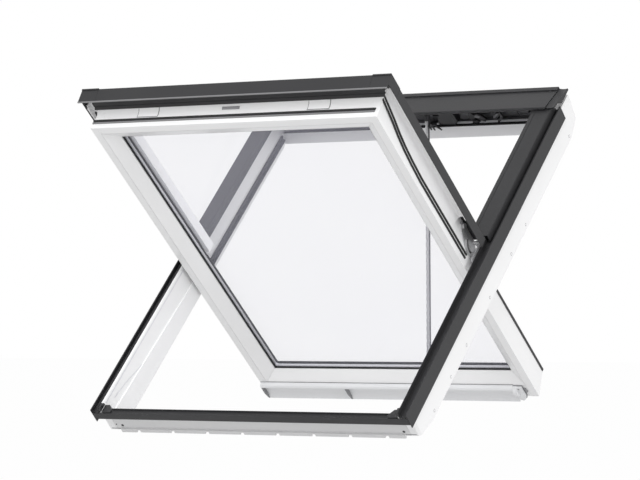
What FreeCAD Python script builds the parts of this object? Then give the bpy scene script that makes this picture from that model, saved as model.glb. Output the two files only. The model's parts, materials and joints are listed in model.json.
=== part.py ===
import FreeCAD, Part
import math
import os

# Centre pivot roof window, drawn open as in the photograph.
# Every piece is first drawn with the window shut and lying flat: X runs across, Y runs up
# the slope from the pivot, and Z is the height over the outer edge of the frame cladding.
# The frame is then tilted to the roof pitch, and the sash and chain are turned open.

# Driving dimensions of the whole window
FRAME_WIDTH = 780.0
FRAME_BELOW_PIVOT = 485.0
FRAME_ABOVE_PIVOT = 495.0
ROOF_PITCH = 45.0
SASH_OPENING = 85.0
PIVOT_HEIGHT = 12.0

# Clearances
SEAT = 0.3
PIN_FIT = 0.05

# Frame body
BODY_INSET = 4.0
BODY_DEPTH = 88.0
SIDE_WALL = 22.0
SILL_WALL = 21.0
HEAD_WALL = 34.0
LIP_WIDTH = 7.0
LIP_HEIGHT = 5.0
LIP_TOP = 2.5
LIP_EDGE = 1.5
LIP_CHAMFER_LOW = -4.5
REBATE_HEIGHT = -50.0
REBATE_RISE = 14.0
REBATE_STEP = 3.0
END_SLANT = 8.0
SLANT_START = -30.0
TOP_SLANT_END = -71.0
TOP_TAPER = 46.0
FRONT_STEP = 12.0
FRONT_STEP_END = -44.0
FRONT_FOOT = -75.5
FRONT_TAPER = 54.0
FRONT_CORNER = 5.0
SILL_SHELF = 10.4
SILL_BACK = -20.0
SILL_REST_TOP = -58.0
SILL_REST_WIDTH = 12.0
FOOT_STRIP_HEIGHT = 9.5
FOOT_STRIP_DROP = 4.0
FOOT_STRIP_REACH = 4.0
FOOT_STRIP_INSET = 12.0
SILL_NOTCHES = 8
SILL_NOTCH_WIDTH = 9.0
SILL_NOTCH_DEPTH = 6.0
HEAD_LIP_TOP = -60.0
HEAD_LIP_SLANT = 10.0
HEAD_POCKET = 26.0
FIXING_HEIGHT = -60.0

# Frame cladding of bent sheet
SHEET = 1.5
FLANGE_HEIGHT = 35.0
CHANNEL_DEPTH = 8.0
RIDGE_WIDTH = 3.0
SILL_FLANGE_HEIGHT = 17.0
SILL_DROP = 10.1
SILL_UPSTAND_HEIGHT = 4.2
CLADDING_TOP_SETBACK = 54.0
CORNER_BLOCK_TOP = -5.6
CORNER_BLOCK = 23.0
CORNER_BLOCK_BACK = 12.0
CORNER_BLOCK_SETBACK = 3.0
CORNER_BLOCK_SIDE = 4.0
CORNER_BLOCK_CUT = 2.0

# Wide covers beside the upper half of the sash
COVER_TOP = 13.5
COVER_OUTER_INSET = 10.0
COVER_WIDTH = 44.0
COVER_LIP = 10.5
COVER_START = 20.0
COVER_ROUNDING = 12.0
BEAD_OFFSET = 9.0
BEAD_WIDTH = 1.4
BEAD_DEPTH = 0.7

# Hood over the head
HOOD_LENGTH = 82.0
HOOD_FRONT_TOP = 22.0
HOOD_BACK_TOP = 9.0
HOOD_STEP_WIDTH = 12.0
HOOD_STEP_HEIGHT = 3.0
HOOD_FRONT_LIP = 7.0
HOOD_NOSE = 3.0
HOOD_BACK_LIP = 23.0
HOOD_END_WIDTH = 20.0
HOOD_DISH_RADIUS = 30.0
HOOD_DISH_DEPTH = 3.0
HOOD_OVER_COVER = 22.0
HOOD_COVER_PLAY = 2.0

# Rubber strips on the frame
FRAME_GASKET_LOW = -76.0
FRAME_GASKET_WIDTH = 17.0
FRAME_GASKET_PROUD = 4.0
HEAD_GASKET_HEIGHT = 3.5
HEAD_GASKET_WIDTH = 5.0
RIB_SHARE = 0.32
GROOVE_SHARE = 0.4

# Sash
SASH_GAP = 12.0
SASH_BOTTOM_GAP = 9.0
SASH_TOP_GAP = 25.0
SASH_TOP_SLANT = 24.0
SASH_INSIDE = -50.0
FACE_WIDTH = 18.0
TOP_FACE_WIDTH = 37.0
BEVEL_WIDTH = 28.0
GLASS_INSIDE = -26.0
PANE = 4.0
PANE_GAP = 14.0
GLASS_COVERED = 12.0
GLASS_PLAY = 0.5
SPACER_WIDTH = 8.0
SPACER_INSET = 2.0
REVEAL_LOW = -33.0
GLAZING_STRIP = 2.0
GLAZING_STRIP_LOW = -31.0
COVE_START = -24.0
COVE_UNDERSIDE = 10.5
COVE_PATH = ((0.9, -8.0), (4.5, 4.0), (7.0, 8.4), (12.0, COVE_UNDERSIDE))
COVE_REACH = 27.2
COVE_LIP = 3.2
COVE_LIP_LOW = -1.0
COVE_END_REACH = 16.0
COVE_END_PATH = ((3.0, -9.0), (11.5, 0.5), (11.5, 2.3))
SEAL_LOW = -38.0
SEAL_WIDTH = 14.0
SEAL_PROUD = 3.0
SEAL_END = -4.0
STILE_RAISED = 7.0

# Sash cladding
SASH_COVER_TOP = 20.0
SASH_COVER_REACH = 29.0
SASH_FLANGE_HEIGHT = 23.0
SASH_COVER_END = -2.0
COVER_LAP = 2.0
BOTTOM_REACH = 46.0
BOTTOM_SLANT = 5.0
BOTTOM_FLANGE_HEIGHT = 33.0
DRIP_INSET = 18.0
DRIP_END = 34.0
DRIP_SLOPE = 7.0
DRIP_RISE = 2.5
DRIP_LOW = 0.5
DRIP_CLEARANCE = 4.0
CAP_WIDTH = 43.0
CAP_LENGTH = 44.0
CAP_PROUD = 2.0
STRIP_TOP = 6.5
STRIP_LAP = 10.0
STRIP_HEM = 3.0
STRIP_NOTCH = 22.0
STRIP_START = 8.0

# Bar along the top of the sash
BAR_SETBACK = 38.0
BAR_WIDTH = 20.0
BAR_HEIGHT = 11.0
BAR_TAIL = 12.0
BAR_TAIL_THICKNESS = 3.0
BAR_TAIL_DISH = 1.5
BAR_TAIL_LIP = 1.0
BAR_ROUNDING = 0.2
BAR_END_GAP = 30.0
BAR_LEFT_GAP = 2.0
FIN_THICKNESS = 3.0
FIN_INSETS = (0.1, 223.0)
DISC_RADIUS = 15.0
DISC_THICKNESS = 9.0

# Hinges
PLATE = 2.5
PIN_RADIUS = 4.0
EAR_RADIUS = 5.0
FRAME_PLATE_LENGTH = 84.0
FRAME_PLATE_LOW = -52.0
SASH_PLATE_BELOW = 66.0
SASH_PLATE_ABOVE = 24.0
SASH_PLATE_LOW = -20.5
SASH_PLATE_TOP = 17.5
SASH_PLATE_FLAT = 2.0
SASH_PLATE_CURVE = 38.0
SASH_PLATE_CURVE_HEIGHT = -10.0
SASH_PLATE_EAR = 8.0
HINGE_ROOM = 84.0
SLOT_RADIUS = 24.0
SLOT_WIDTH = 6.0
SLOT_MARGIN = 7.0
STUD_RADIUS = 2.4
STUD_ANGLE = -152.0
BOLT_RADIUS = 5.5
BOLT_HEAD = 4.0
BOLT_OFFSET = -55.0
BOLT_HEIGHT = 11.0

# Chain operator in the pocket of the head
CHAIN_X = 52.0
CHAIN_SWING = 447.0
OUTLET_HEIGHT = 7.0
CHAIN_SHUT_ANGLE = 2.45
CHAIN_WIDTH = 9.0
CHAIN_THICKNESS = 6.0
CHAIN_PITCH = 13.0
CHAIN_WAIST = 1.5
CHAIN_LINK_SHARES = (0.7, 0.78, 0.92)
CHAIN_END_GAP = 2.0
CHAIN_PIN_RADIUS = 1.5
CHAIN_EYE_RADIUS = 4.5
OPERATOR_WIDTH = 66.0
OPERATOR_X = 100.0
OPERATOR_DEPTH = 24.0
OPERATOR_HEIGHT = 42.0
OPERATOR_CHAMFER = 7.0
OUTLET_WALL = 2.0
OUTLET_PLAY = 1.0
OUTLET_WIDTH = 15.0
OUTLET_FOOT = -34.0
OUTLET_SHOULDER = 4.0
ANCHOR_PLATE = 2.0
ANCHOR_WIDTH = 34.0

# Values worked out from the driving dimensions
HALF_WIDTH = FRAME_WIDTH / 2.0
BODY_OUTER = HALF_WIDTH - BODY_INSET
BODY_INNER = BODY_OUTER - SIDE_WALL
BODY_BOTTOM = BODY_INSET - FRAME_BELOW_PIVOT
BODY_TOP = FRAME_ABOVE_PIVOT - BODY_INSET
SILL_INNER = BODY_BOTTOM + SILL_WALL
HEAD_INNER = BODY_TOP - HEAD_WALL
CHANNEL_FLOOR = -CHANNEL_DEPTH
BODY_SHOULDER = CHANNEL_FLOOR - SHEET - SEAT
LIP_OUTER = BODY_INNER + LIP_WIDTH
SILL_UPSTAND = SILL_SHELF - FRAME_BELOW_PIVOT
FRONT = BODY_BOTTOM + FRONT_STEP
HEAD_LIP_INNER = HEAD_INNER - HEAD_LIP_SLANT
COVER_OUTER = HALF_WIDTH - COVER_OUTER_INSET
COVER_INNER = COVER_OUTER - COVER_WIDTH
HOOD_FRONT = FRAME_ABOVE_PIVOT - HOOD_LENGTH
STILE_OUTER = BODY_INNER - SASH_GAP
SASH_BOTTOM = SILL_INNER + SASH_BOTTOM_GAP
SASH_TOP = HEAD_INNER - SASH_TOP_GAP
STILE_FACE = STILE_OUTER - FACE_WIDTH
STILE_BASE = STILE_FACE - BEVEL_WIDTH
BOTTOM_FACE = SASH_BOTTOM + FACE_WIDTH
BOTTOM_BASE = BOTTOM_FACE + BEVEL_WIDTH
TOP_FACE = SASH_TOP - TOP_FACE_WIDTH
TOP_BASE = TOP_FACE - BEVEL_WIDTH
GLASS_OUTSIDE = GLASS_INSIDE + 2.0 * PANE + PANE_GAP
COVER_UNDERSIDE = SASH_COVER_TOP - SHEET
STILE_TOP = COVER_UNDERSIDE - SEAT
STRIP_FLAT = GLASS_OUTSIDE + SEAT
BOTTOM_EDGE = SASH_BOTTOM - BOTTOM_REACH
SASH_EDGE = STILE_OUTER + SASH_COVER_REACH
OUTLET_DROP = PIVOT_HEIGHT - OUTLET_HEIGHT
OUTLET_ANGLE = -math.degrees(math.asin(OUTLET_DROP / CHAIN_SWING))
ANCHOR_ANGLE = OUTLET_ANGLE - CHAIN_SHUT_ANGLE


# Drawing helpers

def vec(x, y, z):
    return FreeCAD.Vector(x, y, z)


def outline_face(points, place):
    # Closed face through the points. An entry of two points is an arc: its middle and its end.
    edges = []
    first = place(*points[0])
    last = first
    for item in points[1:]:
        if isinstance(item[0], tuple):
            end = place(*item[1])
            edges.append(Part.Arc(last, place(*item[0]), end).toShape())
        else:
            end = place(*item)
            edges.append(Part.LineSegment(last, end).toShape())
        last = end
    if last.distanceToPoint(first) > 1e-6:
        edges.append(Part.LineSegment(last, first).toShape())
    return Part.Face(Part.Wire(edges))


def along_slope(points, y0, y1):
    # Section in X and Z, drawn out up the slope.
    face = outline_face(points, lambda x, z: vec(x, y0, z))
    return face.extrude(vec(0, y1 - y0, 0))


def across(points, x0, x1):
    # Section in Y and Z, drawn out across the window.
    face = outline_face(points, lambda y, z: vec(x0, y, z))
    return face.extrude(vec(x1 - x0, 0, 0))


def upright(points, z0, z1):
    # Plan in X and Y, drawn out in height.
    face = outline_face(points, lambda x, y: vec(x, y, z0))
    return face.extrude(vec(0, 0, z1 - z0))


def block(x0, x1, y0, y1, z0, z1):
    return Part.makeBox(x1 - x0, y1 - y0, z1 - z0, vec(x0, y0, z0))


def pin_across(x0, x1, y, z, radius):
    return Part.makeCylinder(radius, x1 - x0, vec(x0, y, z), vec(1, 0, 0))


def mirrored(shape):
    return shape.mirror(vec(0, 0, 0), vec(1, 0, 0))


def joined(shapes):
    result = shapes[0]
    if len(shapes) > 1:
        result = shapes[0].multiFuse(shapes[1:])
    return result.removeSplitter()


def polar(radius, degrees):
    # Point in Y and Z at an angle round the pivot.
    angle = math.radians(degrees)
    return (radius * math.cos(angle), PIVOT_HEIGHT + radius * math.sin(angle))


# Frame body

def low_outline():
    # Lower end of the body in Y and Z, from under the flange down to the full depth.
    return [
        (BODY_BOTTOM, SLANT_START),
        (FRONT, FRONT_STEP_END),
        (FRONT, FRONT_FOOT),
        (FRONT + FRONT_TAPER, -BODY_DEPTH),
    ]


def high_outline():
    # Upper end of the body in Y and Z, from under the hood down to the full depth.
    return [
        (BODY_TOP, SLANT_START),
        (BODY_TOP - END_SLANT, TOP_SLANT_END),
        (BODY_TOP - END_SLANT - TOP_TAPER, -BODY_DEPTH),
    ]


def height_on(start, end, y):
    # Height at Y on the line between two points in Y and Z.
    share = (y - start[0]) / (end[0] - start[0])
    return start[1] + share * (end[1] - start[1])


def frame_side():
    # Outer wall with a raised lip. Its lower half steps in where the sash seal meets it.
    section = [
        (BODY_OUTER, BODY_SHOULDER),
        (LIP_OUTER - SHEET - SEAT, BODY_SHOULDER),
        (LIP_OUTER - SHEET - SEAT, LIP_TOP),
        (LIP_OUTER - SHEET - SEAT - LIP_EDGE, LIP_TOP),
        (BODY_INNER, LIP_CHAMFER_LOW),
        (BODY_INNER, -BODY_DEPTH),
        (BODY_OUTER, -BODY_DEPTH),
    ]
    wall = along_slope(section, BODY_BOTTOM, BODY_TOP)
    rebate = across([
        (SILL_INNER + SEAT, REBATE_HEIGHT + REBATE_RISE),
        (0.0, REBATE_HEIGHT),
        (0.0, -BODY_DEPTH),
        (SILL_INNER + SEAT, -BODY_DEPTH),
    ], BODY_INNER - REBATE_STEP, BODY_INNER)
    side = joined([wall, rebate])
    low_end = [(BODY_BOTTOM - END_SLANT, SLANT_START)] + low_outline()
    low_end += [(FRONT + FRONT_TAPER, -2.0 * BODY_DEPTH)]
    low_end += [(BODY_BOTTOM - END_SLANT, -2.0 * BODY_DEPTH)]
    high_end = [(BODY_TOP + END_SLANT, SLANT_START)] + high_outline()
    high_end += [(BODY_TOP - END_SLANT - TOP_TAPER, -2.0 * BODY_DEPTH)]
    high_end += [(BODY_TOP + END_SLANT, -2.0 * BODY_DEPTH)]
    for outline in (low_end, high_end):
        side = side.cut(across(outline, BODY_INNER - SIDE_WALL, BODY_OUTER))
    corner = upright([
        (BODY_OUTER, FRONT),
        (BODY_OUTER - FRONT_CORNER, FRONT),
        (BODY_OUTER, FRONT + FRONT_CORNER),
    ], -BODY_DEPTH, FRONT_STEP_END)
    return side.cut(corner)


def frame_sill():
    # Bottom member: stepped under its cladding, with a rest behind and a notched foot strip.
    reach = BODY_INNER - SEAT
    shoulder = -SILL_DROP - SHEET - SEAT
    back = SILL_BACK - SHEET - SEAT
    step, front, foot, taper = low_outline()
    sill = across([
        (BODY_BOTTOM, shoulder),
        (SILL_UPSTAND - SEAT, shoulder),
        (SILL_UPSTAND - SEAT, back),
        (SILL_INNER, back),
        (SILL_INNER, height_on(foot, taper, SILL_INNER)),
        foot,
        front,
        step,
    ], -reach, reach)
    rest_end = SILL_INNER + SILL_REST_WIDTH
    rest_reach = BODY_INNER - REBATE_STEP - SEAT
    rest = across([
        (SILL_INNER, SILL_REST_TOP),
        (rest_end, SILL_REST_TOP),
        (rest_end, height_on(foot, taper, rest_end)),
        (SILL_INNER, height_on(foot, taper, SILL_INNER)),
    ], -rest_reach, rest_reach)
    half = reach - FOOT_STRIP_INSET
    low = FRONT_FOOT - FOOT_STRIP_DROP
    strip = block(-half, half, FRONT - FOOT_STRIP_REACH, FRONT, low, low + FOOT_STRIP_HEIGHT)
    pitch = 2.0 * half / SILL_NOTCHES
    for index in range(SILL_NOTCHES):
        x = -half + pitch * (index + 0.5)
        notch = block(x - SILL_NOTCH_WIDTH / 2.0, x + SILL_NOTCH_WIDTH / 2.0,
                      FRONT - FOOT_STRIP_REACH, FRONT, low, low + SILL_NOTCH_DEPTH)
        strip = strip.cut(notch)
    return joined([sill, rest, strip])


def frame_head():
    # Top member: the inner lip stands under the pocket that holds the operator.
    reach = BODY_INNER - SEAT
    corner, heel, taper = high_outline()
    return across([
        (BODY_TOP, BODY_SHOULDER),
        corner,
        heel,
        (HEAD_LIP_INNER, height_on(heel, taper, HEAD_LIP_INNER)),
        (HEAD_INNER, HEAD_LIP_TOP),
        (HEAD_INNER + HEAD_POCKET, HEAD_LIP_TOP),
        (HEAD_INNER + HEAD_POCKET, BODY_SHOULDER),
    ], -reach, reach)


# Frame cladding

def side_cladding():
    # Bent sheet down the outside of the frame, over the ridge and up the raised lip.
    edge = HALF_WIDTH
    sheet = along_slope([
        (edge, 0.0),
        (edge, -FLANGE_HEIGHT),
        (edge - SHEET, -FLANGE_HEIGHT),
        (edge - SHEET, CHANNEL_FLOOR - SHEET),
        (LIP_OUTER - SHEET, CHANNEL_FLOOR - SHEET),
        (LIP_OUTER - SHEET, LIP_HEIGHT),
        (LIP_OUTER, LIP_HEIGHT),
        (LIP_OUTER, CHANNEL_FLOOR),
        (edge - RIDGE_WIDTH, CHANNEL_FLOOR),
        (edge - RIDGE_WIDTH, 0.0),
    ], -FRAME_BELOW_PIVOT, FRAME_ABOVE_PIVOT - CLADDING_TOP_SETBACK)
    front_room = block(LIP_OUTER - SHEET, edge - SHEET,
                       -FRAME_BELOW_PIVOT, SHEET + SEAT - FRAME_BELOW_PIVOT,
                       -FLANGE_HEIGHT, LIP_HEIGHT)
    return sheet.cut(front_room)


def sill_cladding():
    # Bent sheet over the sill: front flange, shelf, upstand and a low channel behind it.
    front = -FRAME_BELOW_PIVOT
    top = -SILL_DROP
    high = top + SILL_UPSTAND_HEIGHT
    panel = across([
        (front, top),
        (front, top - SHEET),
        (SILL_UPSTAND, top - SHEET),
        (SILL_UPSTAND, SILL_BACK - SHEET),
        (SILL_INNER, SILL_BACK - SHEET),
        (SILL_INNER, SILL_BACK),
        (SILL_UPSTAND + SHEET, SILL_BACK),
        (SILL_UPSTAND + SHEET, high),
        (SILL_UPSTAND, high),
        (SILL_UPSTAND, top),
    ], SEAT - BODY_INNER, BODY_INNER - SEAT)
    room_start = BODY_INNER - 2.0 * SEAT - CORNER_BLOCK
    room = block(room_start, BODY_INNER, SILL_UPSTAND, SILL_UPSTAND + SHEET, top, high)
    panel = panel.cut(room).cut(mirrored(room))
    foot = top - SILL_FLANGE_HEIGHT
    reach = HALF_WIDTH - SHEET - SEAT
    flange = block(-reach, reach, front, front + SHEET, foot, top)
    return joined([panel, flange])


def upper_cover():
    # Wide box cover beside the upper half of the sash, with a bead near its inner edge.
    bead = COVER_INNER + BEAD_OFFSET
    cover = along_slope([
        (COVER_OUTER, COVER_TOP),
        (bead + BEAD_WIDTH, COVER_TOP),
        (bead + BEAD_WIDTH, COVER_TOP - BEAD_DEPTH),
        (bead, COVER_TOP - BEAD_DEPTH),
        (bead, COVER_TOP),
        (COVER_INNER, COVER_TOP),
        (COVER_INNER, COVER_TOP - COVER_LIP),
        (COVER_INNER + SHEET, COVER_TOP - COVER_LIP),
        (COVER_INNER + SHEET, COVER_TOP - SHEET),
        (COVER_OUTER - SHEET, COVER_TOP - SHEET),
        (COVER_OUTER - SHEET, CHANNEL_FLOOR + SEAT),
        (COVER_OUTER, CHANNEL_FLOOR + SEAT),
    ], COVER_START, HOOD_FRONT + HOOD_OVER_COVER)
    centre_x = COVER_INNER + COVER_ROUNDING
    centre_y = COVER_START + COVER_ROUNDING
    low = COVER_TOP - COVER_LIP
    corner = block(COVER_INNER, centre_x, COVER_START, centre_y, low, COVER_TOP)
    round_end = Part.makeCylinder(COVER_ROUNDING, COVER_LIP, vec(centre_x, centre_y, low))
    return cover.cut(corner.cut(round_end))


def hood():
    # Sloping cover over the head, with a rounded nose and a raised strip along its back.
    back = FRAME_ABOVE_PIVOT
    reach = HALF_WIDTH - HOOD_END_WIDTH
    step = back - HOOD_STEP_WIDTH
    nose_in = HOOD_NOSE * (1.0 - math.sqrt(0.5))
    return across([
        (HOOD_FRONT, HOOD_FRONT_TOP - HOOD_NOSE),
        ((HOOD_FRONT + nose_in, HOOD_FRONT_TOP - nose_in),
         (HOOD_FRONT + HOOD_NOSE, HOOD_FRONT_TOP)),
        (step, HOOD_BACK_TOP),
        (step, HOOD_BACK_TOP + HOOD_STEP_HEIGHT),
        (back, HOOD_BACK_TOP + HOOD_STEP_HEIGHT - SHEET),
        (back, HOOD_BACK_TOP - HOOD_BACK_LIP),
        (back - SHEET, HOOD_BACK_TOP - HOOD_BACK_LIP),
        (back - SHEET, HOOD_BACK_TOP - SHEET),
        (step, HOOD_BACK_TOP - SHEET),
        (HOOD_FRONT + SHEET, HOOD_FRONT_TOP - 2.0 * SHEET),
        (HOOD_FRONT + SHEET, HOOD_FRONT_TOP - HOOD_FRONT_LIP),
        (HOOD_FRONT, HOOD_FRONT_TOP - HOOD_FRONT_LIP),
    ], -reach, reach)


def hood_end():
    # Moulded end piece of the hood, dished on top, that sits on the side cover and ridge.
    back = FRAME_ABOVE_PIVOT
    inner = HALF_WIDTH - HOOD_END_WIDTH + SEAT
    over_cover = HOOD_FRONT + HOOD_OVER_COVER + HOOD_COVER_PLAY
    solid = across([
        (HOOD_FRONT + HOOD_NOSE, COVER_TOP + SEAT),
        (HOOD_FRONT + HOOD_NOSE, HOOD_FRONT_TOP - HOOD_NOSE / 2.0),
        (back - HOOD_STEP_WIDTH, HOOD_BACK_TOP),
        (back, HOOD_BACK_TOP),
        (back, SEAT),
        (over_cover + COVER_TOP, SEAT),
        (over_cover, COVER_TOP + SEAT),
    ], inner, HALF_WIDTH)
    run = HOOD_LENGTH - HOOD_STEP_WIDTH
    fall = HOOD_BACK_TOP - HOOD_FRONT_TOP
    lift = HOOD_FRONT_TOP + HOOD_DISH_RADIUS - HOOD_DISH_DEPTH
    dish = Part.makeCylinder(HOOD_DISH_RADIUS, 3.0 * HOOD_LENGTH,
                             vec(HALF_WIDTH - HOOD_END_WIDTH / 2.0, HOOD_FRONT - run,
                                 lift - fall), vec(0, run, fall))
    return solid.cut(dish)


def corner_block():
    # Black plastic block over the end of the sill cladding, with one corner cut away.
    x1 = BODY_INNER - SEAT
    x0 = x1 - CORNER_BLOCK
    y0 = SHEET + SEAT - FRAME_BELOW_PIVOT
    y1 = SILL_INNER - CORNER_BLOCK_SETBACK
    plan = [
        (x1, y0),
        (x0 + CORNER_BLOCK_CUT, y0),
        (x0, y0 + CORNER_BLOCK_SIDE),
        (x1 - CORNER_BLOCK_BACK, y1),
        (x1, y1),
    ]
    top = upright(plan, SEAT - SILL_DROP, CORNER_BLOCK_TOP)
    back = block(x0, x1, SILL_UPSTAND + SHEET + SEAT, y1, SILL_BACK + SEAT,
                 SEAT - SILL_DROP).common(upright(plan, SILL_BACK, 0.0))
    return joined([top, back])


# Rubber strips on the frame

def strip_section(base, proud, low, width):
    # Two ribs with a hollow between them, standing off a wall by the amount in proud.
    rib = width * RIB_SHARE
    groove = base - proud * GROOVE_SHARE
    return [
        (base, low),
        (base - proud, low),
        (base - proud, low + rib),
        (groove, low + rib),
        (groove, low + width - rib),
        (base - proud, low + width - rib),
        (base - proud, low + width),
        (base, low + width),
    ]


def frame_gasket():
    section = strip_section(BODY_INNER - SEAT, FRAME_GASKET_PROUD, FRAME_GASKET_LOW,
                            FRAME_GASKET_WIDTH)
    return along_slope(section, COVER_START + COVER_ROUNDING,
                       HEAD_INNER - 2.0 * FRAME_GASKET_PROUD)


def head_gasket():
    # Rounded strip on the top edge of the inner lip of the head.
    low = HEAD_LIP_TOP + SEAT
    high = low + HEAD_GASKET_HEIGHT
    nose = HEAD_GASKET_HEIGHT / 2.0
    reach = BODY_INNER - FRAME_GASKET_PROUD - 2.0 * SEAT
    return across([
        (HEAD_INNER + HEAD_GASKET_WIDTH, low),
        (HEAD_INNER + HEAD_GASKET_WIDTH, high),
        (HEAD_INNER, high),
        ((HEAD_INNER - nose, low + nose), (HEAD_INNER, low)),
    ], -reach, reach)


# Sash

def side_cove():
    # Outside of a lower stile, from the plain wall out to the lip behind the side cover.
    path = [(STILE_OUTER + out, height) for out, height in COVE_PATH]
    end = STILE_OUTER + COVE_REACH
    return [
        (STILE_OUTER, SASH_INSIDE),
        (STILE_OUTER, COVE_START),
        (path[0], path[1]),
        (path[2], path[3]),
        (end - COVE_LIP, COVE_UNDERSIDE),
        (end - COVE_LIP, COVE_LIP_LOW),
        (end, COVE_LIP_LOW),
        (end, STILE_TOP),
    ]


def end_cove():
    # Outside of the bottom rail, from the plain wall out to the edge behind the drip.
    path = [(SASH_BOTTOM - out, height) for out, height in COVE_END_PATH]
    return [
        (SASH_BOTTOM, SASH_INSIDE),
        (SASH_BOTTOM, COVE_START),
        (path[0], path[1]),
        path[2],
        (SASH_BOTTOM - COVE_END_REACH, path[2][1]),
        (SASH_BOTTOM - COVE_END_REACH, STILE_TOP),
    ]


def top_end(height):
    # The upper end of the sash leans back: its place up the slope at a height.
    share = (height - SASH_INSIDE) / (STRIP_TOP - SASH_INSIDE)
    return SASH_TOP - SASH_TOP_SLANT * share


def bevel_corner(face, base, outer_end, x_side):
    # Plan of the part of a corner that belongs to the rail: a mitre over the bevel.
    return [
        (x_side * STILE_BASE, base),
        (x_side * STILE_FACE, face),
        (x_side * STILE_FACE, outer_end),
        (0.0, outer_end),
        (0.0, base),
    ]


def sash_stile():
    # One side of the sash. The lower half flares out under the cladding, the upper is plain.
    rebate = STILE_BASE + GLASS_COVERED
    inner_face = [
        (rebate, GLASS_INSIDE),
        (STILE_BASE, GLASS_INSIDE),
        (STILE_BASE, REVEAL_LOW),
        (STILE_FACE, SASH_INSIDE),
    ]
    lower_section = side_cove() + [(rebate, STILE_TOP)] + inner_face
    lower = along_slope(lower_section, SASH_BOTTOM - COVE_END_REACH, SASH_COVER_END)
    end_shape = end_cove() + [(SASH_COVER_END, STILE_TOP), (SASH_COVER_END, SASH_INSIDE)]
    lower = lower.common(across(end_shape, STILE_BASE, STILE_OUTER + COVE_REACH))
    hinge_room = block(STILE_OUTER, STILE_OUTER + COVE_REACH,
                       -HINGE_ROOM, SASH_COVER_END, SASH_INSIDE, STILE_TOP)
    lower = lower.cut(hinge_room)
    upper = along_slope([
        (STILE_OUTER, SASH_INSIDE),
        (STILE_OUTER, STRIP_TOP - SHEET - SEAT),
        (STILE_OUTER - STILE_RAISED, STRIP_TOP - SHEET - SEAT),
        (STILE_OUTER - STILE_RAISED, GLASS_OUTSIDE),
        (rebate, GLASS_OUTSIDE),
    ] + inner_face, SASH_COVER_END, SASH_TOP)
    end_slant = across([
        (SASH_TOP, SASH_INSIDE),
        (top_end(STILE_TOP), STILE_TOP),
        (SASH_TOP, STILE_TOP),
    ], STILE_BASE, STILE_OUTER)
    stile = joined([lower, upper.cut(end_slant)])
    low_end = SASH_BOTTOM - COVE_END_REACH
    for plan in (bevel_corner(BOTTOM_FACE, BOTTOM_BASE, low_end, 1.0),
                 bevel_corner(TOP_FACE, TOP_BASE, SASH_TOP, 1.0)):
        stile = stile.cut(upright(plan, SASH_INSIDE, STILE_TOP))
    return stile


def rail_between(section, face, base, outer_end):
    # A rail cut to the mitres at its two ends.
    rail = across(section, -STILE_FACE, STILE_FACE)
    right = upright(bevel_corner(face, base, outer_end, 1.0), SASH_INSIDE, STILE_TOP)
    left = upright(bevel_corner(face, base, outer_end, -1.0), SASH_INSIDE, STILE_TOP)
    return rail.common(joined([right, left]))


def sash_bottom_rail():
    section = end_cove() + [
        (BOTTOM_BASE - GLASS_COVERED, STILE_TOP),
        (BOTTOM_BASE - GLASS_COVERED, GLASS_INSIDE),
        (BOTTOM_BASE, GLASS_INSIDE),
        (BOTTOM_BASE, REVEAL_LOW),
        (BOTTOM_FACE, SASH_INSIDE),
    ]
    return rail_between(section, BOTTOM_FACE, BOTTOM_BASE, SASH_BOTTOM - COVE_END_REACH)


def sash_top_rail():
    section = [
        (SASH_TOP, SASH_INSIDE),
        (top_end(GLASS_OUTSIDE), GLASS_OUTSIDE),
        (TOP_BASE + GLASS_COVERED, GLASS_OUTSIDE),
        (TOP_BASE + GLASS_COVERED, GLASS_INSIDE),
        (TOP_BASE, GLASS_INSIDE),
        (TOP_BASE, REVEAL_LOW),
        (TOP_FACE, SASH_INSIDE),
    ]
    return rail_between(section, TOP_FACE, TOP_BASE, SASH_TOP)


def glass_block(inset, z0, z1):
    covered = GLASS_COVERED - GLASS_PLAY - inset
    half = STILE_BASE + covered
    return block(-half, half, BOTTOM_BASE - covered, TOP_BASE + covered, z0, z1)


def glass_inner():
    return glass_block(0.0, GLASS_INSIDE, GLASS_INSIDE + PANE)


def glass_outer():
    return glass_block(0.0, GLASS_OUTSIDE - PANE, GLASS_OUTSIDE)


def glass_spacer():
    z0 = GLASS_INSIDE + PANE
    z1 = GLASS_OUTSIDE - PANE
    hole = glass_block(SPACER_INSET + SPACER_WIDTH, z0, z1)
    return glass_block(SPACER_INSET, z0, z1).cut(hole)


def glazing_gasket():
    # Rubber strip against the reveal, all round the glass on the room side.
    def rectangle(offset):
        half = STILE_BASE - offset
        low = BOTTOM_BASE + offset
        high = TOP_BASE - offset
        return block(-half, half, low, high, GLAZING_STRIP_LOW, GLASS_INSIDE - SEAT)
    return rectangle(SEAT).cut(rectangle(SEAT + GLAZING_STRIP))


def sash_seal():
    # Rubber seal round the lower half of the sash.
    side_x = STILE_OUTER + SEAT
    end_y = SASH_BOTTOM - SEAT
    high = SEAL_LOW + SEAL_WIDTH
    right = block(side_x, side_x + SEAL_PROUD, end_y - SEAL_PROUD, SEAL_END, SEAL_LOW, high)
    end = block(-side_x, side_x, end_y - SEAL_PROUD, end_y, SEAL_LOW, high)
    return joined([end, right, mirrored(right)])


# Sash cladding

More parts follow.
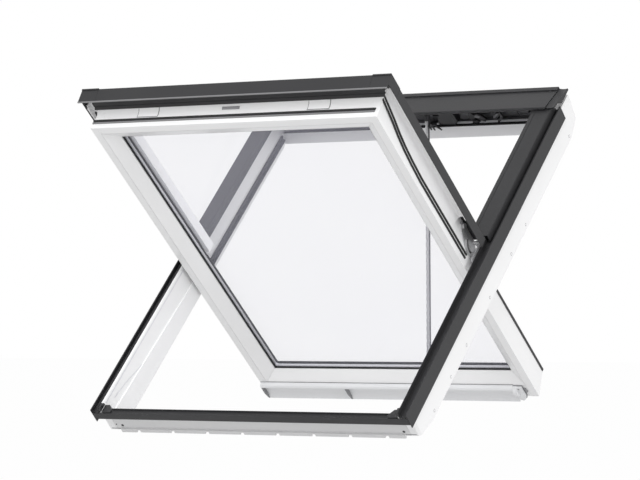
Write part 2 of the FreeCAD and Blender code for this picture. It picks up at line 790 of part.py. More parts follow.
def sash_side_cover():
    # Bent sheet over the lower half of a stile, from the glass out to the hanging flange.
    inner = STILE_BASE - COVER_LAP
    cover = along_slope([
        (SASH_EDGE, SASH_COVER_TOP),
        (SASH_EDGE, SASH_COVER_TOP - SASH_FLANGE_HEIGHT),
        (SASH_EDGE - SHEET, SASH_COVER_TOP - SASH_FLANGE_HEIGHT),
        (SASH_EDGE - SHEET, COVER_UNDERSIDE),
        (inner + SHEET, COVER_UNDERSIDE),
        (inner + SHEET, STRIP_FLAT),
        (inner, STRIP_FLAT),
        (inner, SASH_COVER_TOP),
    ], BOTTOM_EDGE + CAP_LENGTH, SASH_COVER_END)
    over_rail = block(inner, inner + SHEET, BOTTOM_EDGE + CAP_LENGTH, BOTTOM_BASE,
                      STRIP_FLAT, COVER_UNDERSIDE)
    return cover.cut(over_rail)


def drip(top):
    # Leg under the bottom cover with a foot that runs in under the rail.
    start = BOTTOM_EDGE + DRIP_INSET
    end = BOTTOM_EDGE + DRIP_END
    bend = start + DRIP_SLOPE
    return [
        (start, top),
        (start, DRIP_LOW + DRIP_RISE),
        (bend, DRIP_LOW),
        (end, DRIP_LOW),
        (end, DRIP_LOW + SHEET),
        (bend + SHEET / 2.0, DRIP_LOW + SHEET),
        (start + SHEET, DRIP_LOW + DRIP_RISE + SHEET / 2.0),
        (start + SHEET, top),
    ]


def sash_bottom_cover():
    # Bent sheet over the bottom rail. Its front flange hangs in front of the sill.
    inner = BOTTOM_BASE + COVER_LAP
    low = SASH_COVER_TOP - BOTTOM_FLANGE_HEIGHT
    cap_inner = SASH_EDGE - CAP_WIDTH - SEAT
    panel = across([
        (BOTTOM_EDGE, SASH_COVER_TOP),
        (BOTTOM_EDGE + BOTTOM_SLANT, low),
        (BOTTOM_EDGE + BOTTOM_SLANT + SHEET, low),
        (BOTTOM_EDGE + SHEET, COVER_UNDERSIDE),
    ] + drip(COVER_UNDERSIDE) + [
        (inner - SHEET, COVER_UNDERSIDE),
        (inner - SHEET, STRIP_FLAT),
        (inner, STRIP_FLAT),
        (inner, SASH_COVER_TOP),
    ], -cap_inner, cap_inner)
    reach = BODY_INNER - DRIP_CLEARANCE
    under_caps = across(drip(STILE_TOP), -reach, reach)
    notch = block(STILE_BASE - COVER_LAP - SEAT, SASH_EDGE,
                  BOTTOM_EDGE + CAP_LENGTH - SEAT, inner, low, SASH_COVER_TOP)
    return joined([panel.cut(notch).cut(mirrored(notch)), under_caps])


def cover_cap():
    # Moulded cap over the corner of the sash cladding, open underneath.
    x0 = SASH_EDGE - CAP_WIDTH
    low = SASH_COVER_TOP - BOTTOM_FLANGE_HEIGHT
    high = SASH_COVER_TOP + CAP_PROUD
    front = BOTTOM_EDGE - CAP_PROUD
    back = BOTTOM_EDGE + CAP_LENGTH - SEAT
    foot = front + BOTTOM_SLANT + SHEET + CAP_PROUD
    shell = across([
        (front, high - CAP_PROUD),
        (front + CAP_PROUD, high),
        (back, high),
        (back, SASH_COVER_TOP - SASH_FLANGE_HEIGHT),
        (foot + SHEET, SASH_COVER_TOP - SASH_FLANGE_HEIGHT),
        (foot, low),
        (front + BOTTOM_SLANT, low),
    ], x0, SASH_EDGE)
    hollow = across([
        (front + SHEET + CAP_PROUD, COVER_UNDERSIDE),
        (back, COVER_UNDERSIDE),
        (back, low),
        (foot, low),
    ], x0, SASH_EDGE - SHEET)
    return shell.cut(hollow)


def upper_strip():
    # Sheet strip over the outer edge of the glass beside the upper half of the sash.
    raised = STILE_OUTER - STILE_RAISED - SHEET - GLASS_PLAY
    inner = STILE_BASE - STRIP_LAP
    return along_slope([
        (STILE_OUTER, STRIP_TOP),
        (raised, STRIP_TOP),
        (raised, STRIP_FLAT + SHEET),
        (inner, STRIP_FLAT + SHEET),
        (inner, STRIP_FLAT),
        (raised + SHEET, STRIP_FLAT),
        (raised + SHEET, STRIP_TOP - SHEET),
        (STILE_OUTER, STRIP_TOP - SHEET),
    ], STRIP_START, top_end(STRIP_TOP))


def top_strip():
    # Sheet strip over the upper edge of the glass and the end of the sash.
    reach = STILE_BASE - STRIP_LAP - SEAT
    high = STRIP_FLAT + SHEET
    end = top_end(high - STRIP_HEM) + SEAT
    strip = across([
        (TOP_BASE - STRIP_LAP, STRIP_FLAT),
        (TOP_BASE - STRIP_LAP, high),
        (end + SHEET, high),
        (end + SHEET, high - STRIP_HEM),
        (end, high - STRIP_HEM),
        (end, STRIP_FLAT),
    ], -reach, reach)
    notch = block(CHAIN_X - STRIP_NOTCH / 2.0, CHAIN_X + STRIP_NOTCH / 2.0,
                  end - STRIP_HEM, end + SHEET, high - STRIP_HEM, high)
    return strip.cut(notch)


# Bar along the top of the sash

def control_bar():
    # Rounded bar with a dished tail that hangs past the end of the sash.
    y0 = SASH_TOP - BAR_SETBACK
    y1 = y0 + BAR_WIDTH
    face = SASH_INSIDE - SEAT
    low = face - BAR_HEIGHT
    tail = SASH_TOP + BAR_TAIL
    mid = (y1 + tail) / 2.0
    reach = STILE_FACE - SEAT
    back = face - BAR_TAIL_THICKNESS
    round_in = BAR_WIDTH * BAR_ROUNDING
    round_up = low + BAR_HEIGHT * BAR_ROUNDING
    crown = y0 + BAR_WIDTH / 2.0
    left = BAR_LEFT_GAP - STILE_OUTER
    bar = across([
        (y0, face),
        ((y0 + round_in, round_up), (crown, low)),
        ((y1 - round_in, round_up), (y1, back)),
        ((mid, back + BAR_TAIL_DISH), (tail, back - BAR_TAIL_LIP)),
        (tail, face),
    ], left, reach - BAR_END_GAP)
    fin = [(crown, face), (crown, low), (tail, back - BAR_TAIL_LIP), (tail, face)]
    fins = [across(fin, left + inset, left + inset + FIN_THICKNESS) for inset in FIN_INSETS]
    return joined([bar] + fins)


def bar_end_disc():
    # Round end piece of the bar beside the right stile.
    y = SASH_TOP - BAR_SETBACK + DISC_RADIUS
    face = SASH_INSIDE - SEAT
    x0 = STILE_FACE - BAR_END_GAP
    disc = pin_across(x0, x0 + DISC_THICKNESS, y, face, DISC_RADIUS)
    return disc.common(block(x0, x0 + DISC_THICKNESS, y - DISC_RADIUS, y + DISC_RADIUS,
                             face - DISC_RADIUS, face))


# Hinges

def hinge_frame():
    # Plate on the frame side with the pivot pin, and the stud that runs in the curved slot.
    x1 = BODY_INNER - SEAT
    x0 = x1 - PLATE
    half = FRAME_PLATE_LENGTH / 2.0
    top = LIP_HEIGHT - SEAT
    ear_top = PIVOT_HEIGHT + EAR_RADIUS
    plate = across([
        (-half, top),
        (-EAR_RADIUS, top),
        (-EAR_RADIUS, PIVOT_HEIGHT),
        ((0.0, ear_top), (EAR_RADIUS, PIVOT_HEIGHT)),
        (EAR_RADIUS, top),
        (half, top),
        (half, FRAME_PLATE_LOW + EAR_RADIUS),
        (half - EAR_RADIUS, FRAME_PLATE_LOW),
        (EAR_RADIUS - half, FRAME_PLATE_LOW),
        (-half, FRAME_PLATE_LOW + EAR_RADIUS),
    ], x0, x1)
    rebate_room = block(x0, x1, -half, 0.0, -BODY_DEPTH, REBATE_HEIGHT + REBATE_RISE)
    plate = plate.cut(rebate_room)
    inner_end = STILE_OUTER + 2.0 * SEAT
    pin = pin_across(inner_end, x1, 0.0, PIVOT_HEIGHT, PIN_RADIUS)
    stud_y, stud_z = polar(SLOT_RADIUS, STUD_ANGLE)
    stud = pin_across(inner_end, x1, stud_y, stud_z, STUD_RADIUS)
    return joined([plate, pin, stud])


def hinge_sash():
    # Plate on the stile that turns on the pin, with the curved slot and a fixing bolt.
    x0 = STILE_OUTER + SEAT
    x1 = x0 + PLATE
    low = SASH_PLATE_LOW
    high = SASH_PLATE_TOP
    shoulder = STRIP_TOP - SHEET - SEAT
    plate = across([
        (-SASH_PLATE_BELOW, high),
        (SASH_PLATE_EAR, high),
        (2.0 * EAR_RADIUS, PIVOT_HEIGHT),
        (SASH_PLATE_ABOVE - EAR_RADIUS, shoulder),
        (SASH_PLATE_ABOVE, shoulder - EAR_RADIUS),
        (SASH_PLATE_ABOVE, low + EAR_RADIUS),
        (SASH_PLATE_ABOVE - EAR_RADIUS, low),
        (-SASH_PLATE_FLAT, low),
        ((-SASH_PLATE_CURVE, SASH_PLATE_CURVE_HEIGHT),
         (-SASH_PLATE_BELOW, PIVOT_HEIGHT - EAR_RADIUS)),
    ], x0, x1)
    hole = pin_across(x0, x1, 0.0, PIVOT_HEIGHT, PIN_RADIUS + PIN_FIT)
    start = STUD_ANGLE - SLOT_MARGIN
    end = STUD_ANGLE + SASH_OPENING + SLOT_MARGIN
    middle = (start + end) / 2.0
    outer = SLOT_RADIUS + SLOT_WIDTH / 2.0
    inner = SLOT_RADIUS - SLOT_WIDTH / 2.0
    slot = across([
        polar(outer, start),
        (polar(outer, middle), polar(outer, end)),
        polar(inner, end),
        (polar(inner, middle), polar(inner, start)),
    ], x0, x1)
    bolt = pin_across(x1, x1 + BOLT_HEAD, BOLT_OFFSET, BOLT_HEIGHT, BOLT_RADIUS)
    return joined([plate.cut(hole).cut(slot), bolt])


# Chain operator

def operator_housing():
    # Motor housing in the pocket of the head, with its chamfered right end.
    back = HEAD_INNER + HEAD_POCKET - SEAT
    front = back - OPERATOR_DEPTH
    x0 = OPERATOR_X - OPERATOR_WIDTH / 2.0
    x1 = OPERATOR_X + OPERATOR_WIDTH / 2.0
    low = HEAD_LIP_TOP + HEAD_GASKET_HEIGHT + 2.0 * SEAT
    cut = OPERATOR_CHAMFER
    return upright([
        (x0, back),
        (x0, front),
        (x1 - cut, front),
        (x1, front + cut),
        (x1, back),
    ], low, low + OPERATOR_HEIGHT)


def fork(y, z, foot, head, width):
    # Two ears on a web, with the pin between them that a chain end turns on. The web stands
    # on the line between two points in Y and Z, foot and head.
    inner = CHAIN_WIDTH / 2.0 + OUTLET_PLAY
    outer = inner + OUTLET_WALL
    toward = math.copysign(1.0, y - foot[0])
    web = toward * ANCHOR_PLATE
    pieces = []
    for x0, x1 in ((CHAIN_X - outer, CHAIN_X - inner), (CHAIN_X + inner, CHAIN_X + outer)):
        pieces.append(across([
            foot,
            head,
            (y, z + CHAIN_EYE_RADIUS),
            ((y + toward * CHAIN_EYE_RADIUS, z), (y, z - CHAIN_EYE_RADIUS)),
        ], x0, x1))
    pieces.append(across([
        foot,
        head,
        (head[0] + web, head[1]),
        (foot[0] + web, foot[1]),
    ], CHAIN_X - width / 2.0, CHAIN_X + width / 2.0))
    pieces.append(pin_across(CHAIN_X - inner, CHAIN_X + inner, y, z, CHAIN_PIN_RADIUS))
    return joined(pieces)


def chain_outlet():
    # Forked arm of the operator, on the wall of the head, that the chain comes out of.
    y, z = polar(CHAIN_SWING, OUTLET_ANGLE)
    base = HEAD_INNER + HEAD_POCKET - SEAT
    return fork(y, z, (base, OUTLET_FOOT), (base, OUTLET_SHOULDER), OUTLET_WIDTH)


def chain_anchor():
    # Forked bracket on the end of the top rail that holds the end of the chain.
    y, z = polar(CHAIN_SWING, ANCHOR_ANGLE)
    low = z - CHAIN_EYE_RADIUS
    high = z + CHAIN_EYE_RADIUS
    foot = (top_end(low) + SEAT, low)
    head = (top_end(high) + SEAT, high)
    return fork(y, z, foot, head, ANCHOR_WIDTH)


def chain():
    # Drive chain between the outlet and the open sash, with a waist between its links.
    top_y, top_z = polar(CHAIN_SWING, OUTLET_ANGLE)
    end_y, end_z = polar(CHAIN_SWING, ANCHOR_ANGLE - SASH_OPENING)
    span = math.hypot(end_y - top_y, end_z - top_z)
    half = CHAIN_WIDTH / 2.0
    length = span - 2.0 * CHAIN_END_GAP
    links = int(length / CHAIN_PITCH)
    straight, narrow, wide = CHAIN_LINK_SHARES
    pitch = length / links
    right = [(half, CHAIN_END_GAP)]
    for index in range(links):
        start = CHAIN_END_GAP + index * pitch
        right.append((half, start + pitch * straight))
        right.append((half - CHAIN_WAIST, start + pitch * narrow))
        right.append((half - CHAIN_WAIST, start + pitch * wide))
        right.append((half, start + pitch))
    left = [(-x, s) for x, s in reversed(right)]
    face = outline_face(right + left, lambda x, s: vec(x, -CHAIN_THICKNESS / 2.0, -s))
    strip = face.extrude(vec(0, CHAIN_THICKNESS, 0))
    lean = math.degrees(math.atan2(end_y - top_y, top_z - end_z))
    strip.rotate(vec(0, 0, 0), vec(1, 0, 0), lean)
    strip.translate(vec(CHAIN_X, top_y, top_z))
    return strip


# Assembly

def placed(shape, tilt):
    # Turn a piece about the pivot, then set the origin on the right fixing face.
    result = shape.copy()
    result.translate(vec(0, 0, -PIVOT_HEIGHT))
    result.rotate(vec(0, 0, 0), vec(1, 0, 0), tilt)
    drop = FIXING_HEIGHT - PIVOT_HEIGHT
    pitch = math.radians(ROOF_PITCH)
    result.translate(vec(-BODY_OUTER, drop * math.sin(pitch), -drop * math.cos(pitch)))
    return result


def save(name, shape):
    shape.exportStep("parts/" + name + ".step")
    print(name, len(shape.Solids), round(shape.Volume / 1000.0, 2))


def save_pair(name, shape, tilt):
    save(name + "_right", placed(shape, tilt))
    save(name + "_left", placed(mirrored(shape), tilt))


def main():
    os.makedirs("parts", exist_ok=True)
    pitch = ROOF_PITCH
    open_tilt = ROOF_PITCH - SASH_OPENING
    frame_pairs = {
        "frame_side": frame_side(),
        "side_cladding": side_cladding(),
        "upper_cover": upper_cover(),
        "hood_end": hood_end(),
        "corner_block": corner_block(),
        "frame_gasket": frame_gasket(),
        "hinge_frame": hinge_frame(),
    }
    frame_singles = {
        "frame_sill": frame_sill(),
        "frame_head": frame_head(),
        "sill_cladding": sill_cladding(),
        "hood": hood(),
        "head_gasket": head_gasket(),
        "operator_housing": operator_housing(),
        "chain_outlet": chain_outlet(),
        "chain": chain(),
    }
    sash_pairs = {
        "sash_stile": sash_stile(),
        "sash_side_cover": sash_side_cover(),
        "cover_cap": cover_cap(),
        "upper_strip": upper_strip(),
        "hinge_sash": hinge_sash(),
    }
    sash_singles = {
        "sash_bottom_rail": sash_bottom_rail(),
        "sash_top_rail": sash_top_rail(),
        "sash_bottom_cover": sash_bottom_cover(),
        "top_strip": top_strip(),
        "glass_inner": glass_inner(),
        "glass_outer": glass_outer(),
        "glass_spacer": glass_spacer(),
        "glazing_gasket": glazing_gasket(),
        "sash_seal": sash_seal(),
        "control_bar": control_bar(),
        "bar_end_disc": bar_end_disc(),
        "chain_anchor": chain_anchor(),
    }
    for name, shape in frame_pairs.items():
        save_pair(name, shape, pitch)
    for name, shape in frame_singles.items():
        save(name, placed(shape, pitch))
    for name, shape in sash_pairs.items():
        save_pair(name, shape, open_tilt)
    for name, shape in sash_singles.items():
        save(name, placed(shape, open_tilt))


main()
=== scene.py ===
import json
import logging
import math
from dataclasses import dataclass
from enum import Enum
from typing import Sequence

import bmesh
import bpy
from mathutils import Matrix, Vector


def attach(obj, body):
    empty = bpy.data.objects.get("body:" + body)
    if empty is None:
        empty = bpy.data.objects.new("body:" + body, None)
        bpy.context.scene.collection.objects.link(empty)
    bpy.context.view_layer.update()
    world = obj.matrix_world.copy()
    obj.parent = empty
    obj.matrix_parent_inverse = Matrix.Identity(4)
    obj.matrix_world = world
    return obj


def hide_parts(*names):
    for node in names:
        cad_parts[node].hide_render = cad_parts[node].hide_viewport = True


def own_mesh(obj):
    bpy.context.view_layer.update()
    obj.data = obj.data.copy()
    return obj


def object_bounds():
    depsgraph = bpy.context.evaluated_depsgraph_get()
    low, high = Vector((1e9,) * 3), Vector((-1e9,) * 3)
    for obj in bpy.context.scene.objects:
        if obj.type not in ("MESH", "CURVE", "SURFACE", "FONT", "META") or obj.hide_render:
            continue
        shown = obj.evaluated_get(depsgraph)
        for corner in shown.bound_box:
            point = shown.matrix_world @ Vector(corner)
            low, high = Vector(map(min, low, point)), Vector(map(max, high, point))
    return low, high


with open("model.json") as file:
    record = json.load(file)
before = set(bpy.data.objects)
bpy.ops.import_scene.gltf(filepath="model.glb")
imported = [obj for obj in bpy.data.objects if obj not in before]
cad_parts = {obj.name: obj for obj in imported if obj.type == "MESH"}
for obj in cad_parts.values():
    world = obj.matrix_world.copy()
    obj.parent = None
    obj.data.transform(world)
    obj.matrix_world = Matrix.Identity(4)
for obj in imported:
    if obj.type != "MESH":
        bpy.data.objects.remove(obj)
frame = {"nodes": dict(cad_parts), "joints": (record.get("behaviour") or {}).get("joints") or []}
CAD_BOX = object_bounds()

# Sizes in millimetres. Pieces are drawn with the window shut and lying flat: X runs across,
# Y runs up the slope from the pivot, and Z is the height over the outer edge of the cladding.
MM = 0.001
BODY_OUTER = 386.0
BODY_INNER = 364.0
PIVOT_HEIGHT = 12.0
OUTWARD = (1.0, 0.0, 0.0)
DOWNHILL = (0.0, -1.0, 0.0)
INWARD = (0.0, 0.0, -1.0)
PLAIN_WHITE = (1.0, 1.0, 1.0, 1.0)
PROFILE_EDGE = 0.8
SHEET_EDGE = 0.35
SHARP_ANGLE = 28.0

LOG = logging.getLogger("window")

# Names of the pieces dressed since main's last report.
DRESSED: list[str] = []

# A Slab is an outline with the places up the slope where it starts and ends.
Pair = tuple[float, float]
Triple = tuple[float, float, float]
Slab = tuple[tuple[Pair, ...], float, float]
Owner = bpy.types.Material | bpy.types.World


class Side(Enum):
    """The two sides of the window, as a sign along X."""

    RIGHT = 1.0
    LEFT = -1.0

    @property
    def tail(self) -> str:
        """End of the name of a piece on this side."""
        return "_" + self.name.lower()


class Axis(Enum):
    """The direction in which an outline is drawn out."""

    ACROSS = "across"
    SLOPE = "slope"
    HEIGHT = "height"

    def point(self, first: float, second: float, along: float) -> Vector:
        """Place one point of an outline.

        Args:
            first: The outline's first value.
            second: The outline's second value.
            along: The place along the direction.

        Returns:
            The point as X, Y and Z.
        """
        if self is Axis.ACROSS:
            return Vector((along, first, second))
        if self is Axis.SLOPE:
            return Vector((first, along, second))
        return Vector((first, second, along))


class Lie(Enum):
    """How a group of pieces lies: the body that carries it and its slope in degrees."""

    FRAME = ("frame", 45.0)
    SASH = ("sash", -40.0)

    @property
    def body(self) -> str:
        """Name of the body that carries the pieces."""
        return self.value[0]

    def matrix(self) -> Matrix:
        """Turn drawing millimetres into the place of the open window.

        Returns:
            The matrix, which gives metres.
        """
        pivot = Vector(joint_named("sash_pivot")["pos_m"])
        turn = Matrix.Rotation(math.radians(self.value[1]), 4, "X")
        middle = Matrix.Translation(Vector((-BODY_OUTER * MM, pivot.y, pivot.z)))
        return middle @ turn @ Matrix.Scale(MM, 4) @ Matrix.Translation((0, 0, -PIVOT_HEIGHT))


def joint_named(name: str) -> dict:
    """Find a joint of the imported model.

    Args:
        name: The joint's name.

    Returns:
        The joint as the record gives it.
    """
    return next(joint for joint in frame["joints"] if joint["name"] == name)


# Finishes


class Sheet:
    """The nodes of a material or the world while they are being wired up."""

    def __init__(self, owner: Owner) -> None:
        """Clear the nodes of a new material or world.

        Args:
            owner: The material or world.
        """
        self.owner = owner
        owner.use_nodes = True
        self.nodes = owner.node_tree.nodes
        self.links = owner.node_tree.links
        self.nodes.clear()
        self.output = self.add("Output" + type(owner).__name__)

    def add(self, kind: str, **values: object) -> bpy.types.Node:
        """Add a node and set its properties and unlinked inputs.

        Args:
            kind: The node's type name after ShaderNode.
            values: Properties by name, and inputs by name with spaces as underscores.

        Returns:
            The new node.
        """
        node = self.nodes.new("ShaderNode" + kind)
        for key, value in values.items():
            if hasattr(node, key):
                setattr(node, key, value)
            else:
                node.inputs[key.replace("_", " ")].default_value = value
        return node

    def join(self, source: bpy.types.NodeSocket, target: bpy.types.NodeSocket) -> None:
        """Link two sockets."""
        self.links.new(source, target)

    def place(self, stretch: Triple) -> bpy.types.NodeSocket:
        """Give object coordinates, stretched for a directional grain.

        Args:
            stretch: Scale along X, Y and Z.

        Returns:
            The socket with the coordinates.
        """
        spot = self.add("TexCoord")
        mapping = self.add("Mapping", Scale=stretch)
        self.join(spot.outputs["Object"], mapping.inputs["Vector"])
        return mapping.outputs["Vector"]

    def noise(self, place: bpy.types.NodeSocket, scale: float,
              detail: float = 3.0) -> bpy.types.NodeSocket:
        """Give a noise value.

        Args:
            place: Coordinates.
            scale: Size of the pattern, larger for finer.
            detail: Number of finer layers.

        Returns:
            The socket with the value.
        """
        node = self.add("TexNoise", Scale=scale, Detail=detail)
        self.join(place, node.inputs["Vector"])
        return node.outputs["Fac"]

    def spread(self, value: bpy.types.NodeSocket, low: float,
               high: float) -> bpy.types.NodeSocket:
        """Map the middle of a noise value to a range.

        Args:
            value: The noise.
            low: Result at the low end.
            high: Result at the high end.

        Returns:
            The socket with the mapped value.
        """
        node = self.add("MapRange", From_Min=0.3, From_Max=0.7, To_Min=low, To_Max=high)
        self.join(value, node.inputs["Value"])
        return node.outputs["Result"]

    def blend(self, share: bpy.types.NodeSocket, first: Triple,
              second: Triple) -> bpy.types.NodeSocket:
        """Mix two colours.

        Args:
            share: How much of the second colour.
            first: The first colour, linear.
            second: The second colour, linear.

        Returns:
            The socket with the mixed colour.
        """
        node = self.add("Mix", data_type="RGBA")
        node.inputs[6].default_value = (*first, 1.0)
        node.inputs[7].default_value = (*second, 1.0)
        self.join(share, node.inputs[0])
        return node.outputs[2]

    def bump(self, height: bpy.types.NodeSocket, depth: float) -> bpy.types.NodeSocket:
        """Turn a height into a surface direction.

        Args:
            height: The height value.
            depth: Height of the relief in metres.

        Returns:
            The socket with the direction.
        """
        node = self.add("Bump", Strength=1.0, Distance=depth)
        self.join(height, node.inputs["Height"])
        return node.outputs["Normal"]

    def reveal(self, plain: bpy.types.Node, white: bpy.types.Node, rays: Sequence[str],
               share: float = 1.0) -> bpy.types.Node:
        """Show white to some rays and a plain surface to all others.

        Args:
            plain: The plain shader.
            white: The white shader.
            rays: Light Path outputs of the rays that see white.
            share: How much of the white they see.

        Returns:
            The node with the mixed shader.
        """
        path = self.add("LightPath")
        value = path.outputs[rays[0]]
        for ray in rays[1:]:
            either = self.add("Math", operation="MAXIMUM")
            self.join(value, either.inputs[0])
            self.join(path.outputs[ray], either.inputs[1])
            value = either.outputs[0]
        part = self.add("Math", operation="MULTIPLY")
        part.inputs[1].default_value = share
        self.join(value, part.inputs[0])
        mix = self.add("MixShader")
        self.join(part.outputs[0], mix.inputs["Fac"])
        self.join(plain.outputs[0], mix.inputs[1])
        self.join(white.outputs[0], mix.inputs[2])
        return mix

    def finish(self, shader: bpy.types.Node) -> Owner:
        """Connect the shader and give its owner back."""
        self.join(shader.outputs[0], self.output.inputs["Surface"])
        return self.owner


@dataclass(frozen=True)
class Finish:
    """A surface with a fine grain, a slow drift of colour and an uneven sheen."""

    name: str
    slot: str
    colour: Triple
    drift: float = 0.06
    roughness: Pair = (0.35, 0.45)
    grain_size: float = 900.0
    grain_depth: float = 0.00002
    stretch: Triple = (1.0, 1.0, 1.0)
    metallic: float = 0.0
    coat: float = 0.0
    specular: float = 0.5
    glow: float = 0.0

    def make(self) -> bpy.types.Material:
        """Build the material.

        Returns:
            The new material.
        """
        sheet = Sheet(bpy.data.materials.new(self.name))
        place = sheet.place(self.stretch)
        slow = sheet.noise(place, 5.0)
        fine = sheet.noise(place, self.grain_size, 4.0)
        low = tuple(channel * (1.0 - self.drift) for channel in self.colour)
        high = tuple(min(1.0, channel * (1.0 + self.drift)) for channel in self.colour)
        shader = sheet.add("BsdfPrincipled", Metallic=self.metallic, Coat_Weight=self.coat,
                           Coat_Roughness=0.12, Specular_IOR_Level=self.specular,
                           Emission_Strength=self.glow)
        sheet.join(sheet.blend(sheet.spread(slow, 0.0, 1.0), low, high),
                   shader.inputs["Base Color"])
        sheet.join(sheet.spread(fine, *self.roughness), shader.inputs["Roughness"])
        sheet.join(sheet.bump(fine, self.grain_depth), shader.inputs["Normal"])
        return sheet.finish(shader)


@dataclass(frozen=True)
class ClearGlass:
    """Coated pane, clear with a faint cool haze."""

    name: str = "coated_glass"
    slot: str = "glass"
    colour: Triple = (0.80, 0.80, 0.93)
    shade: float = 0.94
    haze: Pair = (0.063, 0.077)

    def make(self) -> bpy.types.Material:
        """Build the material.

        Returns:
            The new material.
        """
        sheet = Sheet(bpy.data.materials.new(self.name))
        place = sheet.place((1.0, 1.0, 1.0))
        slow = sheet.noise(place, 3.0)
        shader = sheet.add("BsdfPrincipled", Roughness=0.02, IOR=1.5)
        low = tuple(channel * self.shade for channel in self.colour)
        sheet.join(sheet.blend(sheet.spread(slow, 0.0, 1.0), low, self.colour),
                   shader.inputs["Base Color"])
        sheet.join(sheet.spread(slow, *self.haze), shader.inputs["Alpha"])
        return sheet.finish(shader)


@dataclass(frozen=True)
class StudioWhite:
    """Pale studio surface that shows white and keeps the object's shadow."""

    name: str = "studio_white"
    colour: Triple = (0.62, 0.62, 0.62)
    glow: float = 0.975

    def make(self) -> bpy.types.Material:
        """Build the material.

        Returns:
            The new material.
        """
        sheet = Sheet(bpy.data.materials.new(self.name))
        diffuse = sheet.add("BsdfDiffuse", Color=(*self.colour, 1.0))
        white = sheet.add("Emission", Color=PLAIN_WHITE, Strength=1.0)
        rays = ("Is Camera Ray", "Is Glossy Ray", "Is Transmission Ray")
        return sheet.finish(sheet.reveal(diffuse, white, rays, self.glow))


WHITE = Finish("white_lacquer", "white_profile", (0.88, 0.88, 0.885), drift=0.015,
               roughness=(0.30, 0.40), grain_size=260.0, grain_depth=0.00001, coat=0.25)
CLADDING = Finish("grey_cladding", "dark_cladding", (0.030, 0.030, 0.032), drift=0.07,
                  roughness=(0.38, 0.52), grain_size=1400.0, grain_depth=0.00002,
                  specular=0.3)
PLASTIC = Finish("black_moulding", "dark_plastic", (0.022, 0.022, 0.024), drift=0.12,
                 roughness=(0.42, 0.58), grain_size=1100.0, grain_depth=0.00003)
RUBBER = Finish("black_rubber", "rubber", (0.014, 0.014, 0.015), drift=0.15,
                roughness=(0.6, 0.8), grain_size=700.0, grain_depth=0.00003)
SPACER = Finish("spacer_metal", "spacer_metal", (0.72, 0.72, 0.76), drift=0.05,
                roughness=(0.35, 0.5), stretch=(1.0, 1.0, 40.0))
# Pale liner that glows faintly though it is no lamp: painted light.
GLOWING_LINER = Finish("glowing_liner", "spacer_metal", (0.95, 0.95, 0.965), drift=0.01,
               roughness=(0.4, 0.5), glow=0.13)
# Darker copy of the white lacquer: painted shade on the front of the sill, and the grey of the
# fine lines on the sash profiles.
SHADED_WHITE = Finish("shaded_white_lacquer", "white_profile", (0.69, 0.69, 0.695), drift=0.02,
                    roughness=(0.30, 0.40))
# Grey for dark joints and small dark parts, and for the painted shadow lines on the control bar
# and round its end cap.
JOINT_AND_SHADE = Finish("grey_joint_and_shade", "rubber", (0.26, 0.26, 0.27), drift=0.10,
               roughness=(0.5, 0.6))
# Lighter grey: a painted highlight on the cover's folded hem, and the grey of the seal's second
# lip.
GREY_AND_HIGHLIGHT = Finish("grey_and_highlight", "dark_cladding", (0.20, 0.20, 0.205), drift=0.08,
             roughness=(0.3, 0.42))
LINING = Finish("lining_grey", "dark_plastic", (0.125, 0.125, 0.13), drift=0.12,
                roughness=(0.4, 0.55), grain_size=500.0)
STEEL = Finish("hinge_steel", "hinge_steel", (0.60, 0.60, 0.61), drift=0.10,
               roughness=(0.24, 0.40), stretch=(30.0, 1.0, 1.0), metallic=0.6)
CHAIN_STEEL = Finish("chain_steel", "chain_steel", (0.74, 0.74, 0.75), drift=0.08,
                     roughness=(0.28, 0.42), metallic=0.4)
BAR_WHITE = Finish("bar_lacquer", "bar_finish", (0.78, 0.785, 0.80), drift=0.015,
                   roughness=(0.28, 0.38), grain_size=300.0, grain_depth=0.00001, coat=0.3)
GLASS = ClearGlass()
STUDIO = StudioWhite()


class Paints:
    """Makes each finish once and hands it out."""

    made: dict[str, bpy.types.Material] = {}

    @classmethod
    def of(cls, finish: Finish | ClearGlass | StudioWhite) -> bpy.types.Material:
        """Give the material of a finish.

        Args:
            finish: The finish.

        Returns:
            Its material.
        """
        if finish.name not in cls.made:
            cls.made[finish.name] = finish.make()
        return cls.made[finish.name]


# Meshes


